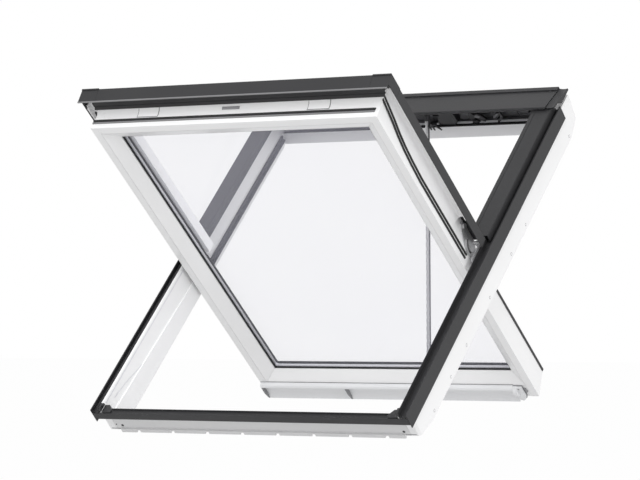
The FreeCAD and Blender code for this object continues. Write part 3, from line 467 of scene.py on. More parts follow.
class Form:
    """A mesh drawn in millimetres with the window shut and lying flat."""

    def __init__(self) -> None:
        """Start an empty mesh."""
        self.mesh = bmesh.new()
        self.paint = 0

    def face(self, corners: Sequence[bmesh.types.BMVert]) -> None:
        """Add one face in the finish that is being used."""
        self.mesh.faces.new(corners).material_index = self.paint

    def shell(self, rings: Sequence[Sequence[bmesh.types.BMVert]]) -> None:
        """Cap both ends of a row of rings and wall it in between them.

        Args:
            rings: The rings of points, in order.
        """
        self.face(rings[0][::-1])
        self.face(rings[-1])
        for low, high in zip(rings, rings[1:]):
            for index in range(len(low)):
                after = (index + 1) % len(low)
                self.face((low[index], low[after], high[after], high[index]))

    def prism(self, outline: Sequence[Pair], start: float, end: float, along: Axis) -> None:
        """Draw a closed outline out along one direction.

        Args:
            outline: The outline's points.
            start: Where it starts.
            end: Where it ends.
            along: The direction.
        """
        near = [self.mesh.verts.new(along.point(*spot, start)) for spot in outline]
        far = [self.mesh.verts.new(along.point(*spot, end)) for spot in outline]
        self.face(near)
        self.face(far[::-1])
        for index in range(len(near)):
            after = (index + 1) % len(near)
            self.face((near[after], near[index], far[index], far[after]))

    def slabs(self, shapes: Sequence[Slab]) -> None:
        """Draw several outlines out along the slope."""
        for outline, start, end in shapes:
            self.prism(outline, start, end, Axis.SLOPE)

    def lathe(self, profile: Sequence[Pair], centre: Triple, along: Triple,
              sides: int = 32) -> None:
        """Turn a profile round a line.

        Args:
            profile: Radius and distance along the line, from one end to the other.
            centre: Start of the line.
            along: Direction of the line.
            sides: Number of faces round.
        """
        turn = Vector(along).to_track_quat("Z", "Y").to_matrix()
        rings = []
        for radius, height in profile:
            ring = []
            for index in range(sides):
                angle = 2.0 * math.pi * index / sides
                spot = Vector((radius * math.cos(angle), radius * math.sin(angle), height))
                ring.append(self.mesh.verts.new(Vector(centre) + turn @ spot))
            rings.append(ring)
        self.shell(rings)

    def sweep(self, path: Sequence[Triple], section: Sequence[Pair], up: Triple) -> None:
        """Draw a section along a path.

        Args:
            path: Points that the section follows.
            section: Outline round the path: sideways and along up.
            up: Direction that the section's second value follows.
        """
        points = [Vector(spot) for spot in path]
        rings = []
        for index, point in enumerate(points):
            before = points[max(index - 1, 0)]
            after = points[min(index + 1, len(points) - 1)]
            ahead = (after - before).normalized()
            side = ahead.cross(Vector(up)).normalized()
            lift = side.cross(ahead).normalized()
            rings.append([self.mesh.verts.new(point + side * a + lift * b)
                          for a, b in section])
        self.shell(rings)

    def mirror(self) -> "Form":
        """Turn the form into its mirror image on the other side of the window."""
        bmesh.ops.scale(self.mesh, vec=(-1.0, 1.0, 1.0), verts=self.mesh.verts)
        return self

    def double(self) -> "Form":
        """Add the mirror image beside the form.

        Returns:
            The form, with both halves.
        """
        whole = self.mesh.copy()
        self.mirror()
        data = bpy.data.meshes.new("half")
        self.mesh.to_mesh(data)
        whole.from_mesh(data)
        self.mesh.free()
        bpy.data.meshes.remove(data)
        self.mesh = whole
        return self

    def piece(self, name: str, lie: Lie, finish: Finish | ClearGlass, soften: float = 0.4,
              matrix: Matrix | None = None, second: Finish | None = None) -> bpy.types.Object:
        """Make the object, in place and dressed.

        Args:
            name: The piece's name.
            lie: The group that it lies with.
            finish: Its finish.
            soften: Width of its rounded edges in millimetres.
            matrix: Another place than the group's own.
            second: The finish of the faces drawn with paint 1.

        Returns:
            The new object, riding on its group's body.
        """
        bmesh.ops.recalc_face_normals(self.mesh, faces=self.mesh.faces)
        self.mesh.transform(matrix or lie.matrix())
        for face in self.mesh.faces:
            face.smooth = True
        data = bpy.data.meshes.new(name)
        self.mesh.to_mesh(data)
        self.mesh.free()
        piece = bpy.data.objects.new(name, data)
        bpy.context.scene.collection.objects.link(piece)
        data.materials.append(Paints.of(finish))
        if second:
            data.materials.append(Paints.of(second))
        round_edges(piece, soften)
        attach(piece, lie.body)
        DRESSED.append(name)
        return piece


def ribbon(path: Sequence[Pair], thickness: float) -> list[Pair]:
    """Outline of a sheet of even thickness that follows a path.

    Args:
        path: Points that one side follows.
        thickness: Thickness to the left of the path.

    Returns:
        The closed outline.
    """
    other = []
    for index, (x, y) in enumerate(path):
        before = path[max(index - 1, 0)]
        after = path[min(index + 1, len(path) - 1)]
        run = math.hypot(after[0] - before[0], after[1] - before[1])
        side = ((before[1] - after[1]) / run, (after[0] - before[0]) / run)
        other.append((x + side[0] * thickness, y + side[1] * thickness))
    return list(path) + other[::-1]


def box(x0: float, x1: float, z0: float, z1: float) -> list[Pair]:
    """Outline of a rectangle."""
    return [(x0, z0), (x1, z0), (x1, z1), (x0, z1)]


def round_edges(piece: bpy.types.Object, width: float) -> None:
    """Round a piece's sharp edges without touching its own mesh.

    Args:
        piece: The object.
        width: Width of the rounding in millimetres.
    """
    weld = piece.modifiers.new("weld", "WELD")
    weld.merge_threshold = 1e-6
    if width > 0.0:
        bevel = piece.modifiers.new("rounding", "BEVEL")
        bevel.width = width * MM
        bevel.segments = 2
        bevel.limit_method = "ANGLE"
        bevel.angle_limit = math.radians(SHARP_ANGLE)
        bevel.use_clamp_overlap = True
    shade = piece.modifiers.new("shading", "WEIGHTED_NORMAL")
    shade.weight = 80
    shade.keep_sharp = False


def dress(node: str, finish: Finish | ClearGlass, soften: float = 0.5) -> None:
    """Give a carried-over node its finish and rounded edges.

    Args:
        node: The node's name.
        finish: Its finish.
        soften: Width of its rounded edges in millimetres.
    """
    piece = frame["nodes"][node]
    piece.data.materials.clear()
    piece.data.materials.append(Paints.of(finish))
    round_edges(piece, soften)
    DRESSED.append(node)


def dress_pair(stem: str, finish: Finish | ClearGlass, soften: float = 0.5) -> None:
    """Dress the right and left node of a pair."""
    for side in Side:
        dress(stem + side.tail, finish, soften)


def disc_profile(radius: float, height: float, rim: float = 0.6) -> list[Pair]:
    """Profile of a round head with a softened rim.

    Args:
        radius: Radius of the head.
        height: Height of the head.
        rim: Size of the rim's rounding.

    Returns:
        Radius and height pairs.
    """
    return [(radius, 0.0), (radius, height - rim), (radius - rim * 0.3, height - rim * 0.3),
            (radius - rim, height)]


# The window


@dataclass
class FrameBody:
    """White body of the frame."""

    sink: float = 0.2
    plug_ring: Triple = (3.4, 0.5, 0.2)
    plug_head: Triple = (2.6, 0.8, 0.3)
    plug_height: float = -78.0
    plug_places: tuple[float, ...] = (431.0, 150.0, 60.0, -71.0, -210.0, -301.0, -396.0)
    front: float = -469.0
    screws: tuple[Triple, ...] = ((-344.5, -62.2, 3.0), (-359.2, -59.5, 1.4),
                                  (351.2, -63.5, 3.0))
    screw_head: Pair = (0.9, 0.3)
    grooves: tuple[Pair, ...] = ((-376.0, -318.0), (318.0, 378.0))
    groove_edges: Pair = (-72.5, -70.7)
    groove_rise: float = 0.25
    lip_faces: Pair = (BODY_INNER - 0.4, BODY_INNER - 0.05)
    lip_edges: Pair = (-5.5, -3.6)
    lip_reach: Pair = (-459.0, -44.0)
    seam_faces: Pair = (BODY_INNER - 0.5, BODY_INNER - 0.05)
    seam_width: float = 1.3
    seam: tuple[Pair, ...] = ((-48.1, -48.9), (-86.2, -50.1), (-122.7, -53.0), (-155.6, -56.9),
                              (-195.0, -57.4), (-237.5, -53.5), (-282.8, -46.0),
                              (-330.9, -35.3), (-378.5, -24.7), (-429.3, -18.0))

    def build(self) -> None:
        """Dress the four members and add the small fittings."""
        dress_pair("frame_side", WHITE, PROFILE_EDGE)
        # The sill is dressed in the darker lacquer as painted shade.
        dress("frame_sill", SHADED_WHITE, 0.6)
        dress("frame_head", WHITE, PROFILE_EDGE)
        self.plugs()
        self.sill_marks()
        self.inner_lines()

    def plugs(self) -> None:
        """Add the row of small plugs low on the outer sides, each in its ring."""
        form = Form()
        for place in self.plug_places:
            centre = (BODY_OUTER - self.sink, place, self.plug_height)
            for paint, disc in ((1, self.plug_ring), (0, self.plug_head)):
                form.paint = paint
                form.lathe(disc_profile(*disc), centre, OUTWARD, 20)
        form.double().piece("side_plugs", Lie.FRAME, WHITE, 0.0, second=JOINT_AND_SHADE)

    def sill_marks(self) -> None:
        """Add the screws and the short saw lines in the front of the sill."""
        form = Form()
        seat = self.front + self.sink
        for place, height, radius in self.screws:
            form.lathe(disc_profile(radius, *self.screw_head), (place, seat, height), DOWNHILL,
                       16)
        form.paint = 1
        for groove in self.grooves:
            form.prism(box(*groove, *self.groove_edges), self.front - self.groove_rise, seat,
                       Axis.SLOPE)
        form.piece("sill_marks", Lie.FRAME, PLASTIC, 0.0, second=JOINT_AND_SHADE)

    def inner_lines(self) -> None:
        """Add the joint lines along the inner faces of the two sides."""
        form = Form()
        form.prism(box(*self.lip_faces, *self.lip_edges), *self.lip_reach, Axis.SLOPE)
        form.prism(ribbon(self.seam, self.seam_width), *self.seam_faces, Axis.ACROSS)
        form.double().piece("inner_lines", Lie.FRAME, SPACER, 0.0)


@dataclass
class FrameCladding:
    """Dark sheet metal over the frame, with its hood and corner blocks."""

    # A black strip in the foot of each side channel, as painted shade in the groove.
    strip: Slab = (((371.2, -8.0), (373.4, -8.0), (372.9, -6.32), (371.8, -5.6)), -484.0, 12.0)
    wing: tuple[Pair, ...] = ((-483.0, -5.4), (-463.2, -5.4), (-463.2, -1.0), (-467.0, 3.6),
                              (-480.0, 3.6), (-483.0, 0.0))
    wing_faces: Pair = (363.9, 369.6)

    def build(self) -> None:
        """Dress the sheets and mouldings."""
        for stem in ("side_cladding", "upper_cover"):
            dress_pair(stem, CLADDING, SHEET_EDGE)
        dress_pair("hood_end", CLADDING, PROFILE_EDGE)
        dress_pair("corner_block", PLASTIC, PROFILE_EDGE)
        dress("sill_cladding", CLADDING, SHEET_EDGE)
        dress("hood", CLADDING, 0.5)
        self.channel_strips()
        self.block_wings()

    def channel_strips(self) -> None:
        """Lay a black strip in the foot of each side channel as painted shade."""
        form = Form()
        form.slabs([self.strip])
        form.double().piece("channel_strips", Lie.FRAME, RUBBER, 0.2)

    def block_wings(self) -> None:
        """Join each corner block to the end of its side cladding."""
        form = Form()
        form.prism(self.wing, *self.wing_faces, Axis.ACROSS)
        form.double().piece("corner_wings", Lie.FRAME, PLASTIC, 0.6)


@dataclass
class FrameSeals:
    """Rubber strips on the frame."""

    def build(self) -> None:
        """Dress the strips."""
        dress_pair("frame_gasket", RUBBER, 0.6)
        dress("head_gasket", RUBBER, 0.4)


@dataclass
class ChainOperator:
    """Operator in the head with its drive chain."""

    chain_x: float = 52.0
    swing: float = 447.0
    outlet_angle: float = -0.641
    anchor_angle: float = -3.091
    opening: float = 85.0
    pitch: float = 8.5
    half_width: float = 2.7
    plate: float = 1.0
    plate_radius: float = 2.7
    roller: Pair = (1.6, 3.78)
    first_pin: float = 2.0
    shift: float = 2.0
    shoe: tuple[Pair, ...] = ((-4.7, -3.2), (6.5, -3.2), (6.5, 2.4), (4.9, 3.6), (-3.7, 3.6),
                              (-4.7, 2.4))
    shoe_reach: Pair = (1.0, 30.0)
    # A dark strip along the chain's side: painted shade.
    guard: tuple[float, ...] = (5.1, 6.3, -2.2, 2.2)
    guard_inset: float = 4.0
    reach: float = BODY_INNER - 4.0
    wall: float = 482.5
    sheet: float = 0.6
    floor: float = -56.2
    under: float = -59.6
    ceiling: float = -12.0
    back: float = 468.0
    ledge: Pair = (462.3, 467.9)
    seams: tuple[Pair, ...] = ((251.0, 244.0), (133.0, 129.0), (-120.0, -126.0))
    seam_top: float = -14.0
    seam_width: float = 1.6
    seam_faces: Pair = (wall - 1.2, wall - 0.5)
    ledge_tops: Pair = (floor + 0.2, floor + 1.6)
    motor: tuple[Slab, ...] = (
        (((66.0, -55.8), (100.0, -55.8), (106.5, -44.0), (101.0, -14.0), (66.0, -14.0)),
         459.0, wall - 0.7),
        (((70.0, -52.0), (97.0, -52.0), (101.5, -43.0), (97.0, -18.0), (70.0, -18.0)),
         458.4, 459.1))
    motor_plate: tuple[Slab, ...] = (
        (((107.5, -55.9), (131.5, -55.9), (127.0, -14.0), (102.5, -14.0)), 476.0, wall - 0.8),
        (((111.0, -40.0), (114.0, -40.0), (113.0, -22.0), (110.0, -22.0)), 475.4, 476.2))
    arm_shapes: tuple[Slab, ...] = (
        (((135.0, -52.0), (145.0, -54.5), (149.5, -49.0), (149.0, -38.0), (144.0, -31.0),
          (137.0, -30.0), (134.0, -36.0)), 466.0, 479.0),
        (((141.0, -55.8), (158.0, -55.8), (162.0, -52.5), (153.0, -48.5), (143.0, -50.0)),
         461.5, 464.5),
        (((148.0, -42.0), (151.5, -34.0), (159.0, -32.0), (168.0, -38.0), (178.0, -50.0),
          (173.0, -55.8), (166.0, -51.5), (158.0, -47.5)), 464.0, 470.0),
        (((192.0, -52.0), (197.0, -42.0), (206.0, -34.0), (217.0, -31.0), (218.0, -35.0),
          (211.0, -43.0), (201.0, -51.0)), 466.0, 472.0),
        (((205.0, -58.0), (212.0, -54.0), (220.5, -47.0), (223.5, -38.0), (220.0, -31.0),
          (216.5, -38.0), (214.0, -45.0), (206.0, -52.0)), 461.0, 465.0))
    arm_screws: tuple[Triple, ...] = ((186.0, -38.0, 2.6), (283.0, -42.0, 2.8),
                                      (302.0, -46.0, 1.8))
    arm_front: float = 478.0
    arm_screw_height: float = 4.0
    arm_screw_tip: float = 0.6
    arm_face_shapes: tuple[Slab, ...] = (
        (((194.0, -47.5), (199.0, -40.0), (206.5, -34.5), (213.0, -33.5), (208.0, -40.0),
          (201.0, -46.0)), 465.2, 466.1),
        (((150.5, -40.5), (153.0, -35.5), (159.0, -34.5), (166.5, -40.0), (160.0, -44.0)),
         463.2, 464.1))
    latch_shapes: tuple[Slab, ...] = (
        (((39.5, -55.8), (65.7, -55.8), (65.7, -37.0), (58.0, -35.2), (42.0, -36.0)),
         468.5, wall - 0.7),
        (((57.0, -55.8), (65.7, -55.8), (65.7, -30.0), (60.0, -30.0)), 460.0, 468.6),
        (((30.5, -57.0), (34.5, -56.0), (38.0, -84.5), (35.5, -86.0)), 454.6, 456.4),
        (((36.0, -50.0), (40.5, -46.0), (45.0, -72.0), (42.5, -73.0)), 454.2, 456.0),
        (((47.0, -55.0), (51.5, -53.0), (61.5, -66.0), (59.5, -68.0)), 453.8, 456.2),
        (((30.5, -57.0), (52.0, -53.0), (52.0, -50.0), (30.5, -52.0)), 455.0, 468.6))
    latch_head: tuple[Pair, ...] = ((2.8, 0.0), (2.8, 1.4), (2.2, 2.5), (1.1, 3.1))
    latch_shank: tuple[Pair, ...] = ((1.6, 0.0), (1.6, 7.0))
    latch_head_seat: Triple = (54.0, 460.5, -51.5)
    latch_shank_seat: Triple = (54.0, 468.6, -51.5)

    def build(self) -> None:
        """Dress the brackets and build the lining, the mechanism and the chain."""
        dress("chain_outlet", PLASTIC, 0.3)
        dress("chain_anchor", CHAIN_STEEL, 0.3)
        self.lining()
        self.housing()
        self.arms()
        self.latch()
        self.chain()

    def lining(self) -> None:
        """Line the pocket of the head: a grey sheet behind and a pale ledge in front."""
        form = Form()
        face = self.wall - self.sheet
        form.prism([(self.back, self.under), (self.wall, self.under), (self.wall, self.ceiling),
                    (face, self.ceiling), (face, self.floor), (self.back, self.floor)],
                   -self.reach, self.reach, Axis.ACROSS)
        form.paint = 1
        for foot, top in self.seams:
            form.prism([(foot, self.floor), (foot + self.seam_width, self.floor),
                        (top + self.seam_width, self.seam_top), (top, self.seam_top)],
                       *self.seam_faces, Axis.SLOPE)
        form.piece("pocket_lining", Lie.FRAME, LINING, 0.2, second=RUBBER)
        ledge = Form()
        front, back = self.ledge
        low, high = self.ledge_tops
        ledge.prism([(front, self.under), (back, self.under), (back, high), (front, low)],
                    -self.reach, self.reach, Axis.ACROSS)
        ledge.piece("pocket_ledge", Lie.FRAME, BAR_WHITE, 0.3)

    def housing(self) -> None:
        """Build the motor housing with its slanted end and the grey plate beside it."""
        form = Form()
        form.slabs(self.motor)
        piece = form.piece("motor_housing", Lie.FRAME, PLASTIC, 1.2)
        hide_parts("operator_housing")
        plate = Form()
        plate.slabs(self.motor_plate)
        plate.piece("housing_plate", Lie.FRAME, LINING, 0.6)

    def arms(self) -> None:
        """Build the curved arms, levers and small screws right of the housing."""
        form = Form()
        form.slabs(self.arm_shapes)
        for x, z, radius in self.arm_screws:
            head = disc_profile(radius, self.arm_screw_height)
            shank = disc_profile(radius * self.arm_screw_tip, self.arm_screw_height)
            form.lathe(head, (x, self.arm_front, z), DOWNHILL, 16)
            form.lathe(shank, (x, self.wall, z), DOWNHILL, 12)
        form.piece("lock_arms", Lie.FRAME, PLASTIC, 0.5)
        faces = Form()
        faces.slabs(self.arm_face_shapes)
        faces.piece("arm_faces", Lie.FRAME, LINING, 0.3)

    def latch(self) -> None:
        """Build the mechanism where the chain comes out: block, prongs, screw and lever."""
        form = Form()
        form.slabs(self.latch_shapes)
        form.piece("latch", Lie.FRAME, PLASTIC, 0.4)
        screw = Form()
        screw.lathe(self.latch_head, self.latch_head_seat, DOWNHILL, 20)
        screw.lathe(self.latch_shank, self.latch_shank_seat, DOWNHILL, 12)
        screw.piece("latch_screw", Lie.FRAME, STEEL, 0.0)

    def spot(self, degrees: float) -> Vector:
        """Point on the circle round the pivot that both ends of the chain lie on.

        Args:
            degrees: Angle up the slope of the shut window.

        Returns:
            The point in drawing millimetres.
        """
        angle = math.radians(degrees)
        return Vector((self.chain_x, self.swing * math.cos(angle),
                       PIVOT_HEIGHT + self.swing * math.sin(angle)))

    def link(self, form: Form, start: float, end: float, offset: float) -> None:
        """Add the two plates of a link.

        Args:
            form: The chain's mesh.
            start: Distance of the link's first pin along the chain.
            end: Distance of its second pin.
            offset: Distance of the plates from the middle.
        """
        outline = []
        for centre, turn in ((start, math.pi), (end, 0.0)):
            for step in range(7):
                angle = turn - math.pi / 2.0 + math.pi * step / 6.0
                outline.append((self.plate_radius * math.sin(angle),
                                centre + self.plate_radius * math.cos(angle)))
        for sign in (1.0, -1.0):
            inner = sign * offset
            form.prism(outline, inner, inner - sign * self.plate, Axis.ACROSS)

    def chain(self) -> None:
        """Build the chain's links and pins between the outlet and the open sash, with a dark strip
        along one side as painted shade.
        """
        top = Lie.FRAME.matrix() @ self.spot(self.outlet_angle)
        low = Lie.SASH.matrix() @ self.spot(self.anchor_angle)
        run = low - top
        length = run.length / MM
        count = int((length - 2.0 * self.plate_radius) / self.pitch)
        pitch = (length - 2.0 * self.first_pin) / count
        radius, width = self.roller
        form = Form()
        for index in range(count):
            start = self.first_pin + index * pitch
            offset = self.half_width if index % 2 else self.half_width - self.plate
            self.link(form, start, start + pitch, offset)
            form.lathe([(radius, 0.0), (radius, width)], (-width / 2.0, 0.0, start), OUTWARD, 10)
        form.paint = 1
        form.prism(self.shoe, *self.shoe_reach, Axis.HEIGHT)
        form.prism(box(*self.guard), self.guard_inset, length - self.guard_inset, Axis.HEIGHT)
        lean = Vector((0.0, 0.0, 1.0)).rotation_difference(run.normalized())
        aside = Vector((self.shift * MM, 0.0, 0.0))
        matrix = Matrix.Translation(top + aside) @ lean.to_matrix().to_4x4() @ Matrix.Scale(MM, 4)
        piece = form.piece("drive_chain", Lie.FRAME, CHAIN_STEEL, 0.0, matrix, PLASTIC)
        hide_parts("chain")
        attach(piece, "chain")
        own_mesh(piece)


@dataclass
class SashBody:
    """White profiles of the sash."""

    rail_skin: tuple[Pair, ...] = ((-451.0, -24.0), (-451.6, -16.5), (-454.0, -9.0),
                                   (-457.8, -3.6), (-462.0, 0.2))
    face: float = 334.0
    line_faces: Pair = (face - 0.5, face + 0.3)
    line_edges: Pair = (-50.25, -49.9)
    line_half: float = 0.4
    bottom: float = -433.0
    top: float = 395.0
    plate_places: tuple[Pair, ...] = ((-243.0, -193.0), (179.0, 229.0))
    plate_skin: tuple[Pair, ...] = ((-451.2, -22.0),) + rail_skin[1:]
    slot: tuple[Pair, ...] = ((-452.2, -13.6), (-454.9, -7.6))
    slot_reach: Pair = (-33.0, 10.0)
    strip: tuple[Pair, ...] = ((-464.5, 0.4), (-462.3, 0.3), (-458.3, -3.6), (-459.3, -4.8),
                               (-463.4, -1.0))
    strip_reach: float = 358.0

    def build(self) -> None:
        """Dress the stiles and rails and add the fittings of the bottom rail."""
        dress_pair("sash_stile", WHITE, PROFILE_EDGE)
        dress("sash_bottom_rail", WHITE, PROFILE_EDGE)
        dress("sash_top_rail", WHITE, PROFILE_EDGE)
        self.rail_plates()
        self.rail_strip()
        self.profile_lines()

    def profile_lines(self) -> None:
        """Add the fine joint line where each profile's flat face meets its bevel."""
        form = Form()
        form.prism(box(*self.line_faces, *self.line_edges), self.bottom, self.top, Axis.SLOPE)
        form.double()
        for place in (self.bottom, self.top):
            edges = (place - self.line_half, place + self.line_half)
            form.prism(box(*edges, *self.line_edges), -self.face, self.face, Axis.ACROSS)
        form.piece("profile_lines", Lie.SASH, SHADED_WHITE, 0.0)

    def rail_plates(self) -> None:
        """Add the two thin plates and the slot in the end of the bottom rail."""
        form = Form()
        layers = ((1, self.rail_skin, 0.4, -1.7, 1.7), (0, self.plate_skin, 0.9, 0.0, 0.0),
                  (1, self.rail_skin[-2:], 1.0, 2.0, -1.0))
        for start, end in self.plate_places:
            for paint, skin, thickness, first, last in layers:
                form.paint = paint
                form.prism(ribbon(skin, thickness), start + first, end + last, Axis.ACROSS)
        form.prism(ribbon(self.slot, 0.9), *self.slot_reach, Axis.ACROSS)
        form.piece("rail_plates", Lie.SASH, WHITE, 0.0, second=JOINT_AND_SHADE)

    def rail_strip(self) -> None:
        """Lay the black weather strip under the edge of the bottom cover."""
        form = Form()
        form.prism(self.strip, -self.strip_reach, self.strip_reach, Axis.ACROSS)
        form.piece("rail_strip", Lie.SASH, PLASTIC, 0.3)


@dataclass
class SashSeal:
    """Seal round the lower half of the sash: two lips along each side and the end."""

    face: float = -451.2
    reach: float = 352.4
    right_end: float = 343.0
    side_path: tuple[Triple, ...] = (
        (353.6, -457.5, -5.0), (353.0, -430.0, -8.6),
        (352.6, -397.0, -13.4), (352.3, -365.0, -20.0), (352.2, -330.0, -25.2),
        (352.1, -290.0, -28.6), (352.1, -240.0, -31.0), (352.1, -98.0, -30.0),
        (352.1, -4.3, -29.4))
    lip_inner: float = 1.7
    lip_outer: float = 6.9
    proud: float = 2.8
    end_lips: tuple[tuple[int, float, float, float], ...] = ((0, -27.0, -33.0, 3.1),
                                                             (1, -33.4, -38.4, 2.4))

    def build(self) -> None:
        """Build the lips along the end and both sides."""
        form = Form()
        for side in Side:
            path = [(side.value * x, y, z) for x, y, z in self.side_path]
            for sign in (1.0, -1.0):
                low, high = sign * self.lip_inner, sign * self.lip_outer
                middle = (low + high) / 2.0
                form.sweep(path, [(low, 0.0), (high, 0.0), (high, self.proud * 0.6),
                                  (middle, self.proud), (low, self.proud * 0.6)],
                           (side.value, 0.0, 0.0))
        for paint, high, low, proud in self.end_lips:
            middle = (high + low) / 2.0
            form.paint = paint
            form.prism([(self.face, high), (self.face - proud * 0.7, high - 0.5),
                        (self.face - proud, middle), (self.face - proud * 0.7, low + 0.5),
                        (self.face, low)], -self.reach, self.right_end, Axis.ACROSS)
        piece = form.piece("double_seal", Lie.SASH, RUBBER, 0.3, second=GREY_AND_HIGHLIGHT)
        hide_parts("sash_seal")


@dataclass
class SashCladding:
    """Dark sheet metal over the sash, with its corner caps."""

    edge: float = 381.0
    cap_reach: Pair = (338.0, edge)
    cap_sheet: tuple[Pair, ...] = ((-497.0, 20.0), (-492.0, -13.0), (-490.5, -13.0),
                                   (-495.5, 18.5), (-453.3, 18.5), (-453.3, 20.0))
    cap_side: tuple[Pair, ...] = ((-495.6, 19.0), (-492.4, -3.0), (-453.3, -3.0),
                                  (-453.3, 19.0))
    cap_side_faces: Pair = (edge - 1.5, edge - 0.05)
    cap_rim: tuple[Pair, ...] = ((-498.6, 17.4), (-498.6, 20.8), (-497.6, 21.7), (-453.3, 21.7),
                                 (-453.3, 20.0), (-496.9, 20.0), (-496.8, 17.4))
    strips: tuple[Slab, ...] = (
        (((352.0, 6.5), (343.0, 6.5), (343.0, -2.2), (315.0, -2.2), (315.0, -3.7),
          (344.5, -3.7), (344.5, 5.0), (352.0, 5.0)), 8.0, 408.2),
        (((352.05, 0.4), (353.5, 0.4), (353.5, 6.5), (352.05, 6.5)), 26.0, 408.2))
    top_section: tuple[Pair, ...] = ((376.0, -3.7), (376.0, -2.2), (414.8, -2.2), (414.8, -5.2),
                                     (413.3, -5.2), (413.3, -3.7))
    top_reach: float = 314.7
    notch: Pair = (41.0, 63.0)
    notch_section: tuple[float, ...] = (376.0, 410.3, -3.7, -2.2)
    fold: tuple[Pair, ...] = ((-492.6, -10.4), (-493.2, -11.6), (-492.9, -13.0), (-492.0, -13.6),
                              (-490.4, -13.3), (-490.4, -12.6), (-491.9, -12.4))

    def build(self) -> None:
        """Dress the sheets and build the caps, strips and beads."""
        dress_pair("sash_side_cover", CLADDING, SHEET_EDGE)
        dress("sash_bottom_cover", CLADDING, SHEET_EDGE)
        for side in Side:
            self.cap(side)
            self.upper_strip(side)
        self.top_strip()
        self.hem()

    def cap(self, side: Side) -> None:
        """Build a corner cap: a flush sheet with a thin raised rim over its top edge.

        Args:
            side: The side of the window that it is on.
        """
        form = Form()
        form.prism(self.cap_sheet, *self.cap_reach, Axis.ACROSS)
        form.prism(self.cap_side, *self.cap_side_faces, Axis.ACROSS)
        form.paint = 1
        form.prism(self.cap_rim, *self.cap_reach, Axis.ACROSS)
        if side is Side.LEFT:
            form.mirror()
        end = side.tail
        piece = form.piece("corner_cap" + end, Lie.SASH, CLADDING, 0.3, second=PLASTIC)
        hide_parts("cover_cap" + end)

    def upper_strip(self, side: Side) -> None:
        """Build the sheet strip beside the upper half of the glass.

        Args:
            side: The side of the window that it is on.
        """
        form = Form()
        form.slabs(self.strips)
        if side is Side.LEFT:
            form.mirror()
        end = side.tail
        piece = form.piece("edge_strip" + end, Lie.SASH, CLADDING, 0.3)
        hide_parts("upper_strip" + end)

    def top_strip(self) -> None:
        """Build the sheet strip over the upper edge of the glass, with room for the chain."""
        form = Form()
        for start, end in ((-self.top_reach, self.notch[0]), (self.notch[1], self.top_reach)):
            form.prism(self.top_section, start, end, Axis.ACROSS)
        form.prism(box(*self.notch_section), *self.notch, Axis.ACROSS)
        piece = form.piece("top_sheet", Lie.SASH, CLADDING, 0.3)
        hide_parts("top_strip")

    def hem(self) -> None:
        """Add the folded hem along the lower edge of the bottom cover, in a lighter grey as a
        painted highlight.
        """
        form = Form()
        form.prism(self.fold, -self.edge, self.edge, Axis.ACROSS)
        form.piece("cover_hem_highlight", Lie.SASH, GREY_AND_HIGHLIGHT, 0.2)


@dataclass
class Glazing:
    """The sealed unit, its rubber and the pale liner round it, which glows faintly as painted
    light.
    """

    half: float = 307.5
    low: float = -406.5
    high: float = 368.5
    width: float = 8.0
    inside: float = -21.9
    split: float = -16.2
    outside: float = -11.0
    key: float = 5.0
    liner_sides: tuple[Slab, ...] = (
        (((303.4, -3.6), (303.7, -3.6), (303.7, 19.6), (303.4, 19.6)), -402.7, -2.3),
        (((303.4, -3.95), (312.7, -3.95), (312.7, -3.75), (303.4, -3.75)), -410.7, -2.3))
    liner_end: tuple[float, ...] = (-402.7, -402.4, -3.6, 19.6)
    liner_reach: float = 303.3

    def build(self) -> None:
        """Dress the panes and rubber and build the spacer and liner."""
        dress("glass_inner", GLASS, 0.0)
        dress("glass_outer", GLASS, 0.0)
        dress("glazing_gasket", RUBBER, 0.4)
        self.spacer()
        self.liner()

    def spacer(self) -> None:
        """Build the spacer: a light bar with a black seal over it and keys in the corners."""
        form = Form()
        for paint, z0, z1 in ((0, self.inside, self.split), (1, self.split, self.outside)):
            form.paint = paint
            for sign in (1.0, -1.0):
                x0, x1 = sign * self.half, sign * (self.half + self.width)
                form.prism(box(x0, x1, z0, z1), self.low - self.width,
                           self.high + self.width, Axis.SLOPE)
            for y0, y1 in ((self.high, self.high + self.width), (self.low - self.width, self.low)):
                form.prism(box(y0, y1, z0, z1), -self.half, self.half, Axis.ACROSS)
        form.paint = 0
        for x, way in ((self.half, -self.key), (-self.half, self.key)):
            for y, along in ((self.high, -self.key), (self.low, self.key)):
                form.prism([(x, y), (x + way, y), (x, y + along)], self.inside, self.split,
                           Axis.HEIGHT)
        piece = form.piece("spacer_bar", Lie.SASH, SPACER, 0.0, second=RUBBER)
        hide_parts("glass_spacer")

    def liner(self) -> None:
        """Line the inside of the covers round the lower half of the glass, in a faintly glowing
        finish as painted light.
        """
        form = Form()
        form.slabs(self.liner_sides)
        form.double()
        form.prism(box(*self.liner_end), -self.liner_reach, self.liner_reach, Axis.ACROSS)
        form.piece("glass_liner", Lie.SASH, GLOWING_LINER, 0.0)


